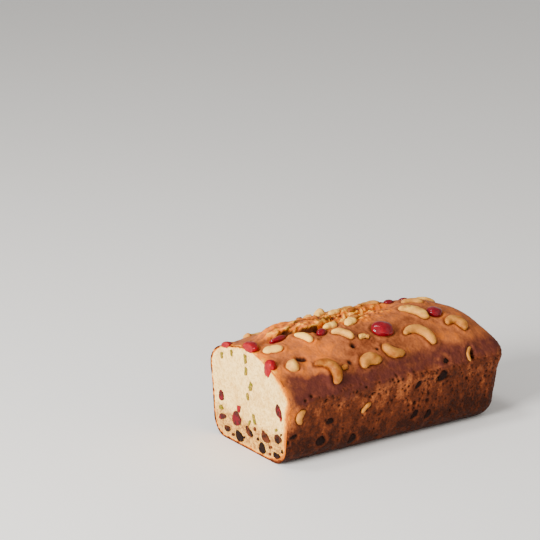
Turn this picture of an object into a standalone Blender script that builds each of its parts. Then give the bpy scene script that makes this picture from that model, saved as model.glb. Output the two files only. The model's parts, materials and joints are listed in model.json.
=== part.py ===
"""A fruit cake loaf with one cut end, topped with cashews and glace cherries.

The cake is one solid. Every cashew, cherry and raisin that shows is a solid of its own,
seated in a pocket of the cake. Metres, +Z up, origin under the middle of the loaf,
+X along the loaf away from the cut, -Y the long side towards the viewer.
"""

import math

import bmesh
import bpy
import numpy as np
from mathutils import Matrix, Vector

MM = 0.001

# Driving dimensions of the loaf
LOAF_LENGTH = 179.0 * MM        # along the base, from the cut to the far end, corners square
LOAF_WIDTH = 83.0 * MM          # across the base, corners square
RIM_HEIGHT = 57.0 * MM          # where the walls end and the crust domes over
EDGE_ROUND = 12.0 * MM          # rounding of the base edges and the far corners
RIM_ROUND = 8.0 * MM            # how far down the rounding of the rim reaches
WALL_FLARE = 4.6 * MM           # how far a wall leans out between base and rim
LIP_SWELL = 1.6 * MM            # crust swollen over the tin's edge
LIP_HEIGHT = 46.0 * MM
LIP_SPREAD = 6.0 * MM
WALL_CURVE = 1.5                # above 1 the lower wall leans more than the upper
CROWN_RISE = 20.5 * MM          # rise of the dome over the rim, in the middle of the loaf
CROWN_RISE_AT_CUT = 13.6 * MM
CROWN_RUN = 60.0 * MM           # stretch from the cut over which the crown gains its height
CROWN_TILT = 3.6 * MM           # the back of the dome is this much higher, the front lower
CROWN_FULLNESS = 2.0            # 1 is a ridged dome, larger is a flatter one
CROWN_FULLNESS_AT_CUT = 1.45
FAR_SLOPE_FROM = 20.0 * MM      # along the loaf, where the crown begins to fall to the far end
FAR_SLOPE_CURVE = 5.0
FAR_RISE_KEPT = 0.12            # share of the crown left at the far end
FAR_TILT_KEPT = 0.3
DOME_FROM = 0.62                # share of the rim height where the dome starts to lift the wall
CRUST_LUMP = 0.5 * MM           # low swellings of the crust, and their two lengths
LUMP_SHORT = 8.0 * MM
LUMP_LONG = 13.0 * MM

# The crack that runs along the top, and the crust that stands up behind it
CRACK_FROM = -86.0 * MM
CRACK_TO = 44.0 * MM
CRACK_FADE = 24.0 * MM
CRACK_ACROSS = 5.0 * MM
CRACK_BOW = 8.0 * MM            # how far it bows to the front
CRACK_BOW_AT = -40.0 * MM
CRACK_BOW_REACH = 13.0 * MM
CRACK_DRIFT = 7.0 * MM          # how far it wanders back towards the far end
CRACK_DRIFT_FROM = -20.0 * MM
CRACK_DRIFT_TO = 40.0 * MM
CRACK_DEPTH = 5.5 * MM
CRACK_HALF_WIDTH = 2.8 * MM
RIDGE_RISE = 2.6 * MM
RIDGE_BEHIND = 12.0 * MM
RIDGE_SPREAD = 7.0 * MM
FLAP_RISE = 2.7 * MM            # the ridge is torn up higher near the cut
FLAP_AT = -63.0 * MM
FLAP_REACH = 9.0 * MM

SEAT_GAP = 0.35 * MM            # air between a topping and its pocket
CUT_RECESS = 0.2 * MM           # cut fruit lies this far behind the cut face
RAISIN_SUNK = -1.8              # a wall raisin's middle is this many millimetres under the crust
RAISIN_FOLDS = 0.05
NUT_END = 2.6                   # roundness of a cashew's ends
NUT_FULLER = 0.13               # how much fuller one end of a cashew is

# Grid of the loaf's faces, finer across the crack
STEPS_ALONG = 28
STEPS_ACROSS = 18
STEPS_UP = 9
CRACK_BAND = (-6.0 * MM, 24.0 * MM)
CRACK_STEPS = 10
SURFACE_STEP = 2.0 * MM         # reach of the two steps that find the crust's slope
TOUCH = 0.001 * MM

HALF_WIDTH = LOAF_WIDTH / 2
CUT_X = -LOAF_LENGTH / 2 - 2.0 * MM
FAR_X = CUT_X + LOAF_LENGTH

COLOURS = {
    "crust": ((0.42, 0.17, 0.065, 1.0), 0.62),
    "cashew": ((0.78, 0.52, 0.25, 1.0), 0.5),
    "cherry": ((0.50, 0.010, 0.022, 1.0), 0.2),
    "raisin": ((0.055, 0.022, 0.016, 1.0), 0.5),
}


def clear_scene():
    for obj in list(bpy.data.objects):
        bpy.data.objects.remove(obj, do_unlink=True)


def material(name):
    """One Principled material for each kind of food surface."""
    found = bpy.data.materials.get(name)
    if found:
        return found
    colour, roughness = COLOURS[name]
    made = bpy.data.materials.new(name)
    made.use_nodes = True
    shader = made.node_tree.nodes["Principled BSDF"]
    shader.inputs["Base Color"].default_value = colour
    shader.inputs["Roughness"].default_value = roughness
    shader.inputs["Metallic"].default_value = 0.0
    made.diffuse_color = colour
    return made


def new_object(name, bm, finish):
    """Turn a bmesh into a named, smooth shaded object."""
    mesh = bpy.data.meshes.new(name)
    bmesh.ops.recalc_face_normals(bm, faces=bm.faces[:])
    bm.to_mesh(mesh)
    bm.free()
    mesh.materials.append(material(finish))
    mesh.shade_smooth()
    mesh.set_sharp_from_angle(angle=math.radians(50))
    obj = bpy.data.objects.new(name, mesh)
    bpy.context.scene.collection.objects.link(obj)
    return obj


def ease(low, high, value):
    """0 below low, 1 above high, and a smooth step between."""
    t = np.clip((value - low) / (high - low), 0.0, 1.0)
    return t * t * (3.0 - 2.0 * t)


def bump(value, middle, spread):
    return np.exp(-((value - middle) / spread) ** 2)


def round_edges(points):
    """Round a box's edges and corners, apart from those of the flat cut end."""
    low = np.array([2 * CUT_X, -HALF_WIDTH + EDGE_ROUND, EDGE_ROUND])
    high = np.array([FAR_X - EDGE_ROUND, HALF_WIDTH - EDGE_ROUND, RIM_HEIGHT - RIM_ROUND])
    inner = np.clip(points, low, high)
    out = points - inner
    share = out / EDGE_ROUND
    share[:, 2] = np.where(out[:, 2] > 0, out[:, 2] / RIM_ROUND, share[:, 2])
    reach = np.abs(share).max(axis=1)
    length = np.maximum(np.linalg.norm(share, axis=1), 1e-9)
    return inner + out * (reach / length)[:, None]


def crack_across(x):
    """Where across the loaf the crack lies, at each place along it."""
    drift = CRACK_DRIFT * ease(CRACK_DRIFT_FROM, CRACK_DRIFT_TO, x)
    return CRACK_ACROSS - CRACK_BOW * bump(x, CRACK_BOW_AT, CRACK_BOW_REACH) + drift


def crack_strength(x):
    """1 along the crack, fading to 0 at both ends."""
    return ease(CRACK_FROM, CRACK_FROM + CRACK_FADE, x) * (1 - ease(CRACK_TO - CRACK_FADE, CRACK_TO, x))


def crust_lumps(x, y):
    short = np.sin(x / LUMP_SHORT + 1.3) * np.sin(y / LUMP_SHORT + 0.4)
    return CRUST_LUMP * (short + np.sin((x - y) / LUMP_LONG))


def crust_rise(x, y):
    """Height of the domed crust above the rim."""
    from_cut = ease(CUT_X, CUT_X + CROWN_RUN, x)
    share = np.clip(y / (HALF_WIDTH + WALL_FLARE), -1.0, 1.0)
    fullness = CROWN_FULLNESS_AT_CUT + (CROWN_FULLNESS - CROWN_FULLNESS_AT_CUT) * from_cut
    across = 1.0 - np.abs(share) ** fullness
    to_end = np.clip((x - FAR_SLOPE_FROM) / (FAR_X + WALL_FLARE - FAR_SLOPE_FROM), 0.0, 1.0)
    along = 1.0 - to_end ** FAR_SLOPE_CURVE
    crown = CROWN_RISE_AT_CUT + (CROWN_RISE - CROWN_RISE_AT_CUT) * from_cut
    rise = crown * (FAR_RISE_KEPT + (1 - FAR_RISE_KEPT) * along) * across
    tilt = CROWN_TILT * share * (FAR_TILT_KEPT + (1 - FAR_TILT_KEPT) * along)
    behind = y - crack_across(x)
    crack = CRACK_DEPTH * bump(behind, 0.0, CRACK_HALF_WIDTH)
    ridge = RIDGE_RISE + FLAP_RISE * bump(x, FLAP_AT, FLAP_REACH)
    ridge = ridge * bump(behind, RIDGE_BEHIND, RIDGE_SPREAD)
    return rise + tilt + crust_lumps(x, y) + crack_strength(x) * (ridge - crack)


def loaf_surface(points):
    """Move points of the plain box to the loaf's own surface."""
    rounded = round_edges(points)
    x, y, z = rounded.T
    up = np.clip(z / RIM_HEIGHT, 0.0, 1.0)
    lean = WALL_FLARE * (1 - (1 - up) ** WALL_CURVE) + LIP_SWELL * bump(z, LIP_HEIGHT, LIP_SPREAD)
    y = y * (1 + lean / HALF_WIDTH)
    x = x + lean * ease(CUT_X, FAR_X, x) ** 2
    z = z + ease(DOME_FROM * RIM_HEIGHT, RIM_HEIGHT, z) * crust_rise(x, y)
    return np.stack([x, y, z], axis=1)


def surface_point(point):
    return Vector(loaf_surface(np.array([point]))[0])


def top_box_point(x, y):
    """The point of the plain box's top that ends up above (x, y)."""
    u, v = x, y
    for _ in range(8):
        found = surface_point((u, v, RIM_HEIGHT))
        u += x - found.x
        v += y - found.y
    return Vector((u, v, RIM_HEIGHT))


def frame_at(place, first, out, heading):
    """A frame with Z along out and X turned by the heading, in degrees, from first."""
    angle = math.radians(heading)
    ahead = first * math.cos(angle) + out.cross(first) * math.sin(angle)
    frame = Matrix((ahead, out.cross(ahead), out)).transposed().to_4x4()
    frame.translation = place
    return frame


def surface_frame(box_point, step_a, step_b, heading, lift):
    """A frame on the loaf, raised off it by the lift, Z straight out of the crust."""
    here = surface_point(box_point)
    side_a = surface_point(box_point + step_a) - here
    side_b = surface_point(box_point + step_b) - here
    out = side_a.cross(side_b).normalized()
    return frame_at(here + out * lift * MM, side_a.normalized(), out, heading)


def on_top(x, y, heading, lift):
    """Frame on the top crust, x and y in millimetres, heading in degrees from +X."""
    along = Vector((SURFACE_STEP, 0, 0))
    across = Vector((0, SURFACE_STEP, 0))
    return surface_frame(top_box_point(x * MM, y * MM), along, across, heading, lift)


def on_wall(x, z, heading, lift, side):
    """Frame on a long wall, side -1 for the front and 1 for the back."""
    along = Vector((-side * SURFACE_STEP, 0, 0))
    up = Vector((0, 0, SURFACE_STEP))
    return surface_frame(Vector((x * MM, side * HALF_WIDTH, z * MM)), along, up, heading, lift)


def on_cut(y, z, turn):
    """Frame on the cut face, looking out along -X, X of the frame along -Y."""
    return frame_at(Vector((CUT_X, y * MM, z * MM)), Vector((0, -1, 0)), Vector((-1, 0, 0)), turn)


def crescent(length, width, height, bend, grow):
    """A cashew: a round ended body bent along an arc, fuller at one end."""
    bm = bmesh.new()
    bmesh.ops.create_uvsphere(bm, u_segments=8, v_segments=7, radius=1.0)
    turn = math.radians(bend)
    arc_radius = (length - width) / turn
    sag = arc_radius * (1 - math.cos(turn / 2)) / 2
    stretch = 1 + (width / 2 + grow) / (arc_radius * turn / 2)
    for vert in bm.verts:
        ring = max(math.hypot(vert.co.x, vert.co.y), TOUCH)
        place = math.atan2(vert.co.z, ring) / (math.pi / 2)
        out = vert.co.x / ring
        rise = vert.co.y / ring
        full = max(1 - abs(place) ** NUT_END, 0.0) ** 0.5 * (1 + NUT_FULLER * place)
        angle = turn / 2 * place * stretch
        reach = out * full * (width / 2 + grow)
        vert.co = Vector((
            (arc_radius + reach) * math.sin(angle),
            (arc_radius + reach) * math.cos(angle) - arc_radius + sag,
            rise * full * (height / 2 + grow),
        ))
    bmesh.ops.triangulate(bm, faces=bm.faces[:], quad_method="FIXED")
    return bm


def blob(size, folds, grow, segments, rings):
    """A round fruit with shallow folds, size in metres along X, Y and Z."""
    bm = bmesh.new()
    bmesh.ops.create_uvsphere(bm, u_segments=segments, v_segments=rings, radius=1.0)
    for vert in bm.verts:
        angle = math.atan2(vert.co.y, vert.co.x)
        ring = math.hypot(vert.co.x, vert.co.y)
        dent = 1 + folds * ring * math.sin(3 * angle + 4 * vert.co.z + size[0] / MM)
        for axis in range(3):
            vert.co[axis] *= dent * size[axis] / 2 + grow
    bmesh.ops.triangulate(bm, faces=bm.faces[:], quad_method="FIXED")
    return bm


def slice_at_cut(bm):
    """Take away what stands out of the cut face, and close the cut."""
    geometry = bm.verts[:] + bm.edges[:] + bm.faces[:]
    bmesh.ops.bisect_plane(
        bm, geom=geometry, plane_co=(CUT_X + CUT_RECESS, 0, 0), plane_no=(-1, 0, 0), clear_outer=True
    )
    rim = [edge for edge in bm.edges if edge.is_boundary]
    if rim:
        bmesh.ops.holes_fill(bm, edges=rim, sides=0)


class Toppings:
    """Makes each piece of nut or fruit, and the pocket that it sits in."""

    def __init__(self):
        self.pockets = bpy.data.collections.new("pockets")
        self.counts = {}

    def place(self, kind, finish, frame, make, sliced=False):
        """Make the piece and its pocket with the same maker, the pocket grown by the gap."""
        self.counts[kind] = self.counts.get(kind, 0) + 1
        name = f"{kind}_{self.counts[kind]:02d}"
        bm = make(0.0)
        bmesh.ops.transform(bm, matrix=frame, verts=bm.verts[:])
        if sliced:
            slice_at_cut(bm)
        new_object(name, bm, finish)
        bm = make(SEAT_GAP)
        bmesh.ops.transform(bm, matrix=frame, verts=bm.verts[:])
        pocket = new_object(name + "_pocket", bm, finish)
        bpy.context.scene.collection.objects.unlink(pocket)
        self.pockets.objects.link(pocket)

    def cashew(self, x, y, heading, length, width, height, bend, lift, pitch=0):
        """A cashew lying on the top, its bend opening to the right of its heading."""
        frame = on_top(x, y, heading, lift) @ Matrix.Rotation(math.radians(pitch), 4, "Y")
        sizes = (length * MM, width * MM, height * MM, bend)
        self.place("cashew", "cashew", frame, lambda grow: crescent(*sizes, grow))

    def wall_cashew(self, x, z, heading, length, width, height, bend, lift):
        frame = on_wall(x, z, heading, lift, -1)
        sizes = (length * MM, width * MM, height * MM, bend)
        self.place("cashew", "cashew", frame, lambda grow: crescent(*sizes, grow))

    def cherry(self, x, y, heading, size, lift, sliced=False):
        """A glace cherry in the top crust."""
        frame = on_top(x, y, heading, lift)
        sizes = tuple(value * MM for value in size)
        self.place("cherry", "cherry", frame, lambda grow: blob(sizes, 0.05, grow, 8, 6), sliced)

    def cut_fruit(self, kind, y, z, turn, size, folds):
        """A fruit that the knife went through, flush with the cut face."""
        frame = on_cut(y, z, turn)
        sizes = tuple(value * MM for value in size)
        self.place(kind, kind, frame, lambda grow: blob(sizes, folds, grow, 8, 6), True)

    def wall_raisin(self, x, z, turn, size, side=-1):
        """A raisin that shows in a long wall."""
        frame = on_wall(x, z, turn, RAISIN_SUNK, side)
        sizes = tuple(value * MM for value in size)
        self.place("raisin", "raisin", frame, lambda grow: blob(sizes, RAISIN_FOLDS, grow, 6, 5))


def stations(low, high, steps, band=None, band_steps=0):
    """Even cut places between two ends, closer together in the band."""
    places = list(np.linspace(low, high, steps + 1)[1:-1])
    if band:
        places = [place for place in places if not band[0] - MM < place < band[1] + MM]
        places += list(np.linspace(*band, band_steps + 1))
    return sorted(places)


def make_cake():
    """The loaf: a box cut into a grid, its points moved to the loaf's surface."""
    bm = bmesh.new()
    size = (FAR_X - CUT_X, LOAF_WIDTH, RIM_HEIGHT)
    middle = Vector(((FAR_X + CUT_X) / 2, 0, RIM_HEIGHT / 2))
    bmesh.ops.create_cube(bm, size=1.0, matrix=Matrix.Translation(middle) @ Matrix.Diagonal((*size, 1.0)))
    grid = (
        stations(CUT_X, FAR_X, STEPS_ALONG),
        stations(-HALF_WIDTH, HALF_WIDTH, STEPS_ACROSS, CRACK_BAND, CRACK_STEPS),
        stations(0.0, RIM_HEIGHT, STEPS_UP),
    )
    for axis, places in enumerate(grid):
        normal = Vector((0, 0, 0))
        normal[axis] = 1.0
        for place in places:
            geometry = bm.verts[:] + bm.edges[:] + bm.faces[:]
            bmesh.ops.bisect_plane(bm, geom=geometry, plane_co=normal * place, plane_no=normal)
    cut_face = [face for face in bm.faces if all(abs(v.co.x - CUT_X) < TOUCH for v in face.verts)]
    bmesh.ops.dissolve_faces(bm, faces=cut_face)
    inner_x = FAR_X - EDGE_ROUND
    inner_y = HALF_WIDTH - EDGE_ROUND
    base = [
        face for face in bm.faces
        if all(abs(v.co.z) < TOUCH and v.co.x < inner_x and abs(v.co.y) < inner_y for v in face.verts)
    ]
    bmesh.ops.dissolve_faces(bm, faces=base)
    moved = loaf_surface(np.array([vert.co[:] for vert in bm.verts]))
    for vert, place in zip(bm.verts, moved):
        vert.co = place
    bmesh.ops.triangulate(bm, faces=bm.faces[:])
    return new_object("cake", bm, "crust")


def add_top_cashews(toppings):
    """Whole, split and broken cashews on the crust, from the cut to the far end."""
    toppings.cashew(-76.2, -28.0, 52, 12, 9.2, 8.2, 20, -1.4, -50)
    toppings.cashew(-52.5, -37.5, -74, 29, 7.4, 6.4, 140, 0.8)
    toppings.cashew(-79, -9, -20, 14, 7.6, 4.2, 30, 0.5)
    toppings.cashew(-53, -8, -62, 14.5, 5.6, 5.2, 60, 0.2)
    toppings.cashew(-27, -16, -48, 17.5, 5.6, 5.8, 70, 0.7)
    toppings.cashew(-29.8, -4.6, 8, 12.0, 6.4, 5.6, 60, 0.2)
    toppings.cashew(-13, -5, 24, 12, 7.0, 5.0, 40, 0.4)
    toppings.cashew(-20.9, -37.6, 4, 18.5, 9.2, 6.6, 90, 0.4)
    toppings.cashew(0, -36.5, 148, 18.5, 8.0, 6.2, 80, 0.5)
    toppings.cashew(29, -28, -37, 31, 7.0, 6.4, 130, 0.8)
    toppings.cashew(39, -8.5, -48, 24, 8.4, 6.6, 70, 0.5)
    toppings.cashew(63, -25, -36, 21, 8.4, 6.0, 130, 0.4)
    toppings.cashew(-23, 17, 30, 12.5, 7.6, 7.4, 50, -0.6, -25)
    toppings.cashew(-13, 14, 10, 11, 5.4, 4.6, 50, 0.2)
    toppings.cashew(1, 22, 14, 18, 6.8, 5.2, 70, -0.4)
    toppings.cashew(23, 22, -10, 16, 6.4, 5.0, 60, -0.6)
    toppings.cashew(50, 8, -24, 18, 6.8, 5.2, 80, -0.4)


def add_back_cashews(toppings):
    """Cashews on the back slope of the crust, like those in front."""
    toppings.cashew(-62, 40, 20, 22, 7.8, 6.8, 110, 0.4)
    toppings.cashew(-35, 42, -15, 21, 7.6, 6.8, 130, 0.4)
    toppings.cashew(15, 42, 172, 23, 7.8, 6.8, 120, 0.4)
    toppings.cashew(44, 40, 24, 22, 8.2, 6.8, 140, 0.4)
    toppings.cashew(79, 31, 110, 19, 7.6, 6.4, 90, 0.2)


def add_wall_nuts(toppings):
    """The nut pieces baked into the front wall."""
    toppings.wall_cashew(-81.6, 34.3, 78, 13.0, 5.4, 4.6, 110, -0.5)
    toppings.wall_cashew(-28.0, 30.3, 40, 10.0, 3.8, 3.0, 40, -0.5)
    toppings.wall_cashew(55.6, 54.0, 70, 12.0, 3.2, 3.0, 70, -0.8)


def add_top_cherries(toppings):
    toppings.cherry(3, -20, -20, (16.2, 13.6, 10.0), 1.0)
    toppings.cherry(53.5, -12.5, -12, (12.0, 9.8, 7.6), 0.5)
    toppings.cherry(-39.3, -8.8, 20, (9.2, 6.4, 5.4), 0.1)
    toppings.cherry(-68.5, 0.5, 8, (14.6, 8.0, 5.0), -0.3)
    toppings.cherry(38, 19, 10, (9.0, 7.0, 4.8), -0.4)
    toppings.cherry(-11, 42, 30, (14.5, 12.0, 8.0), 0.4)
    toppings.cherry(65, 37, 15, (11.5, 10.0, 7.0), 0.2)
    toppings.cherry(-88.5, 2.5, 80, (16.0, 10.0, 7.4), 0.3, True)
    toppings.cherry(-89, -21.5, 96, (10.0, 8.4, 15.0), -3.0, True)
    toppings.cherry(-90, 29.5, 80, (11.0, 7.0, 4.6), 0.0, True)


def add_cut_fruit(toppings):
    """Cherries and raisins that show in the crumb of the cut face."""
    toppings.cut_fruit("cherry", 34.4, 28.2, 92, (7.8, 6.2, 7.0), 0.05)
    toppings.cut_fruit("cherry", 33.0, 13.7, 20, (9.0, 4.4, 6.0), 0.08)
    toppings.cut_fruit("cherry", 15.6, 17.2, 40, (11.0, 10.4, 8.0), 0.06)
    toppings.cut_fruit("cherry", -33.6, 37.0, 118, (9.6, 6.2, 7.0), 0.07)
    toppings.cut_fruit("raisin", 27.0, 6.8, 0, (7.4, 4.4, 5.0), 0.10)
    toppings.cut_fruit("raisin", 12.3, 5.6, 150, (9.8, 7.0, 6.0), 0.10)
    toppings.cut_fruit("raisin", 0.6, 12.4, 150, (9.4, 5.4, 6.0), 0.12)
    toppings.cut_fruit("raisin", -18.4, 14.4, 150, (10.0, 6.6, 6.0), 0.12)
    toppings.cut_fruit("raisin", -33.1, 17.7, 10, (8.2, 6.6, 6.0), 0.08)
    toppings.cut_fruit("raisin", -15.0, 5.6, 100, (8.2, 7.6, 7.0), 0.10)
    toppings.cut_fruit("raisin", -31.6, 5.6, 0, (8.0, 4.4, 5.0), 0.10)


def add_wall_raisins(toppings):
    """Raisins in the front wall, then a few in the back wall."""
    toppings.wall_raisin(-86.0, 21.2, 4, (8.0, 4.4, 4.0))
    toppings.wall_raisin(-63.5, 13.6, 20, (9.0, 8.2, 5.0))
    toppings.wall_raisin(-57.0, 26.4, 10, (7.6, 5.0, 4.4))
    toppings.wall_raisin(-37.5, 9.6, 60, (9.0, 6.4, 5.0))
    toppings.wall_raisin(32.5, 41.5, 50, (9.6, 7.4, 6.0))
    toppings.wall_raisin(13.7, 38.5, 60, (8.4, 4.6, 4.4))
    toppings.wall_raisin(13.6, 16.8, 48, (9.6, 5.0, 4.6))
    toppings.wall_raisin(25.0, 14.4, 48, (9.6, 5.0, 4.6))
    toppings.wall_raisin(36.0, 53.5, 0, (6.4, 5.4, 4.0))
    toppings.wall_raisin(-52.0, 20.0, 30, (9.0, 7.0, 5.0), side=1)
    toppings.wall_raisin(-6.0, 36.0, 60, (8.4, 5.6, 4.6), side=1)
    toppings.wall_raisin(44.0, 17.0, 10, (9.4, 6.4, 5.0), side=1)


def seat_toppings(cake, pockets):
    """Cut every pocket out of the cake, then drop the cutters."""
    cutter = cake.modifiers.new("pockets", "BOOLEAN")
    cutter.operation = "DIFFERENCE"
    cutter.operand_type = "COLLECTION"
    cutter.collection = pockets
    cutter.solver = "EXACT"
    bpy.context.scene.collection.children.link(pockets)
    bpy.ops.object.select_all(action="DESELECT")
    bpy.context.view_layer.objects.active = cake
    cake.select_set(True)
    bpy.ops.object.modifier_apply(modifier=cutter.name)
    for pocket in list(pockets.objects):
        bpy.data.objects.remove(pocket, do_unlink=True)
    bpy.data.collections.remove(pockets)


def centre_on_base():
    """Shift every piece so that the origin is under the middle of the whole."""
    pieces = [obj for obj in bpy.context.scene.objects if obj.type == "MESH"]
    corners = np.array([vert.co[:] for obj in pieces for vert in obj.data.vertices])
    low, high = corners.min(axis=0), corners.max(axis=0)
    shift = Matrix.Translation((-(low[0] + high[0]) / 2, -(low[1] + high[1]) / 2, -low[2]))
    for obj in pieces:
        obj.data.transform(shift)


def main():
    clear_scene()
    cake = make_cake()
    toppings = Toppings()
    add_top_cashews(toppings)
    add_back_cashews(toppings)
    add_wall_nuts(toppings)
    add_top_cherries(toppings)
    add_cut_fruit(toppings)
    add_wall_raisins(toppings)
    seat_toppings(cake, toppings.pockets)
    centre_on_base()


main()
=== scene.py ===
"""Dresses the solid model of a fruit cake loaf: crust, crumb, nuts, fruit, stage and camera.

Every piece is built in the model's own frame, in metres: +Z up, +X along the loaf away
from its cut end, -Y the long side towards the camera.
"""

import json
import math

import bmesh
import bpy
import numpy as np
from bpy.props import FloatProperty, FloatVectorProperty, PointerProperty
from mathutils import Matrix, Vector, noise
from mathutils.bvhtree import BVHTree
from mathutils.kdtree import KDTree

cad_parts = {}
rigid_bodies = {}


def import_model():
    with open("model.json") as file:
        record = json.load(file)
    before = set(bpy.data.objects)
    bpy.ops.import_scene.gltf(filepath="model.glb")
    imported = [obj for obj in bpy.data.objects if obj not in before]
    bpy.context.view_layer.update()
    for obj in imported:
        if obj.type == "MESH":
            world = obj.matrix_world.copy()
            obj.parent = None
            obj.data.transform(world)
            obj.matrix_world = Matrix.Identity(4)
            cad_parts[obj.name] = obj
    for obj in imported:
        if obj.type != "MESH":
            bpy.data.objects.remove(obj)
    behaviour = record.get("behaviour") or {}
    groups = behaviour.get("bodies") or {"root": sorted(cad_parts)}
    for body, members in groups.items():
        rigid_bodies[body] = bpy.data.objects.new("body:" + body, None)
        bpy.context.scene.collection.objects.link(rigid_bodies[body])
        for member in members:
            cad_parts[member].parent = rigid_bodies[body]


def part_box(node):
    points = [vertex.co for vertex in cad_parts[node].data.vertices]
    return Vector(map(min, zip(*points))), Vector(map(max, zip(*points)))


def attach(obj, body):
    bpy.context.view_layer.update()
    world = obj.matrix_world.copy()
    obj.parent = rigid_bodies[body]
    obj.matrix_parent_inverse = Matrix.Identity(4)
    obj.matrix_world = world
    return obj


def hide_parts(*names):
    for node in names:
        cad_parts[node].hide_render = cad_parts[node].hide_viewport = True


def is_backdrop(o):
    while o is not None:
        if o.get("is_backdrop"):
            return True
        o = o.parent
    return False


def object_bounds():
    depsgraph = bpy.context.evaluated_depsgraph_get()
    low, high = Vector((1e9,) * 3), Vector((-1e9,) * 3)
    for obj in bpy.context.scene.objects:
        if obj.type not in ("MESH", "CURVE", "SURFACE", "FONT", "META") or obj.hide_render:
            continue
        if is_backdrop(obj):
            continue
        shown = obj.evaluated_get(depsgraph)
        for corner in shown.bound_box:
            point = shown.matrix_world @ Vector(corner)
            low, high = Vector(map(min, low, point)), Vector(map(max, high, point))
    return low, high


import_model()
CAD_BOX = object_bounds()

bl_info = {
    "name": "Fruit Cake Loaf",
    "version": (1, 0, 0),
    "blender": (4, 5, 0),
    "location": "3D View > Sidebar > Fruit Cake",
    "description": "Makes a cut fruit cake loaf with cashews, cherries and raisins",
    "category": "Object",
}

MM = 0.001

# The loaf's form, as in the solid model
LOAF_LENGTH = 179.0 * MM
LOAF_WIDTH = 83.0 * MM
RIM_HEIGHT = 57.0 * MM
EDGE_ROUND = 12.0 * MM
RIM_ROUND = 8.0 * MM
WALL_FLARE = 4.6 * MM
LIP_SWELL = 1.6 * MM
LIP_HEIGHT = 46.0 * MM
LIP_SPREAD = 6.0 * MM
WALL_CURVE = 1.5
CROWN_RISE = 20.5 * MM
CROWN_RISE_AT_CUT = 13.6 * MM
CROWN_RUN = 60.0 * MM
CROWN_TILT = 3.6 * MM
CROWN_FULLNESS = 2.0
CROWN_FULLNESS_AT_CUT = 1.45
FAR_SLOPE_FROM = 20.0 * MM
FAR_SLOPE_CURVE = 5.0
FAR_RISE_KEPT = 0.12
FAR_TILT_KEPT = 0.3
DOME_FROM = 0.62
CRUST_LUMP = 0.5 * MM
LUMP_SHORT = 8.0 * MM
LUMP_LONG = 13.0 * MM
CRACK_FROM = -86.0 * MM
CRACK_TO = 44.0 * MM
CRACK_FADE = 24.0 * MM
CRACK_ACROSS = 5.0 * MM
CRACK_BOW = 8.0 * MM
CRACK_BOW_AT = -40.0 * MM
CRACK_BOW_REACH = 13.0 * MM
CRACK_DRIFT = 7.0 * MM
CRACK_DRIFT_FROM = -20.0 * MM
CRACK_DRIFT_TO = 40.0 * MM
CRACK_DEPTH = 5.5 * MM
CRACK_HALF_WIDTH = 2.8 * MM
RIDGE_RISE = 2.6 * MM
RIDGE_BEHIND = 12.0 * MM
RIDGE_SPREAD = 7.0 * MM
FLAP_RISE = 2.7 * MM
FLAP_AT = -63.0 * MM
FLAP_REACH = 9.0 * MM
RAISIN_SUNK = -1.8
RAISIN_FOLDS = 0.05
NUT_END = 2.6
NUT_FULLER = 0.13
NUT_SEAM_DEPTH = 0.05
NUT_SEAM_WIDTH = 0.16
SURFACE_STEP = 2.0 * MM
TOUCH = 0.001 * MM
HALF_WIDTH = LOAF_WIDTH / 2
CUT_X = -LOAF_LENGTH / 2 - 2.0 * MM
FAR_X = CUT_X + LOAF_LENGTH

# The solid model's origin is under the middle of its box, so the loaf is shifted with it
CAKE_LOW, CAKE_HIGH = (Vector(corner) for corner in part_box("cake"))
SHIFT = Vector((CAKE_LOW.x - CUT_X, (CAKE_LOW.y + CAKE_HIGH.y) / 2, 0.0))

# Grid of the fine loaf, before its faces in view are subdivided twice and the rest, but for the base, once
CUTS_ALONG = 71
CUTS_ACROSS = 32
CUTS_UP = 22

FRUIT_RECESS = 0.05 * MM        # cut fruit lies this far behind the plane of the knife
CRUMB_RECESS = 0.30 * MM        # and the crumb this far, but for pores and tears
LEAST_CRUMB_RECESS = 0.12 * MM
RIM_SHRINK = 0.2 * MM           # how far the cut's outline is drawn in


def colour(name, description, value):
    return FloatVectorProperty(
        name=name, description=description, subtype="COLOR", size=3, min=0.0, max=1.0, default=value
    )


def length(name, description, millimetres):
    return FloatProperty(
        name=name, description=description, unit="LENGTH", min=0.0, max=20 * MM, precision=5,
        default=millimetres * MM,
    )


def strength(name, description, value, unit="NONE"):
    return FloatProperty(name=name, description=description, unit=unit, min=0.0, default=value)


class CakeRelief(bpy.types.PropertyGroup):
    """Heights and depths of the loaf's fine forms."""

    dimples: length("Dimples", "Height of the soft dimples of the top crust", 0.45)
    groove: length("Groove", "Depth of the groove where crust meets a nut or fruit", 0.55)
    swelling: length("Swelling", "Height of the crust that has risen round a nut or fruit", 0.55)
    torn: length("Torn crumb", "Roughness of the crumb inside the crack", 1.3)
    overhang: length("Overhang", "How far the ridge leans over the crack", 2.6)
    wall_pits: length("Wall pits", "Depth of the pits in the side crust", 1.1)
    wall_grain: length("Wall grain", "Roughness of the side crust", 0.28)
    pores: length("Pores", "Depth of the pores in the cut crumb", 0.75)


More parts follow.
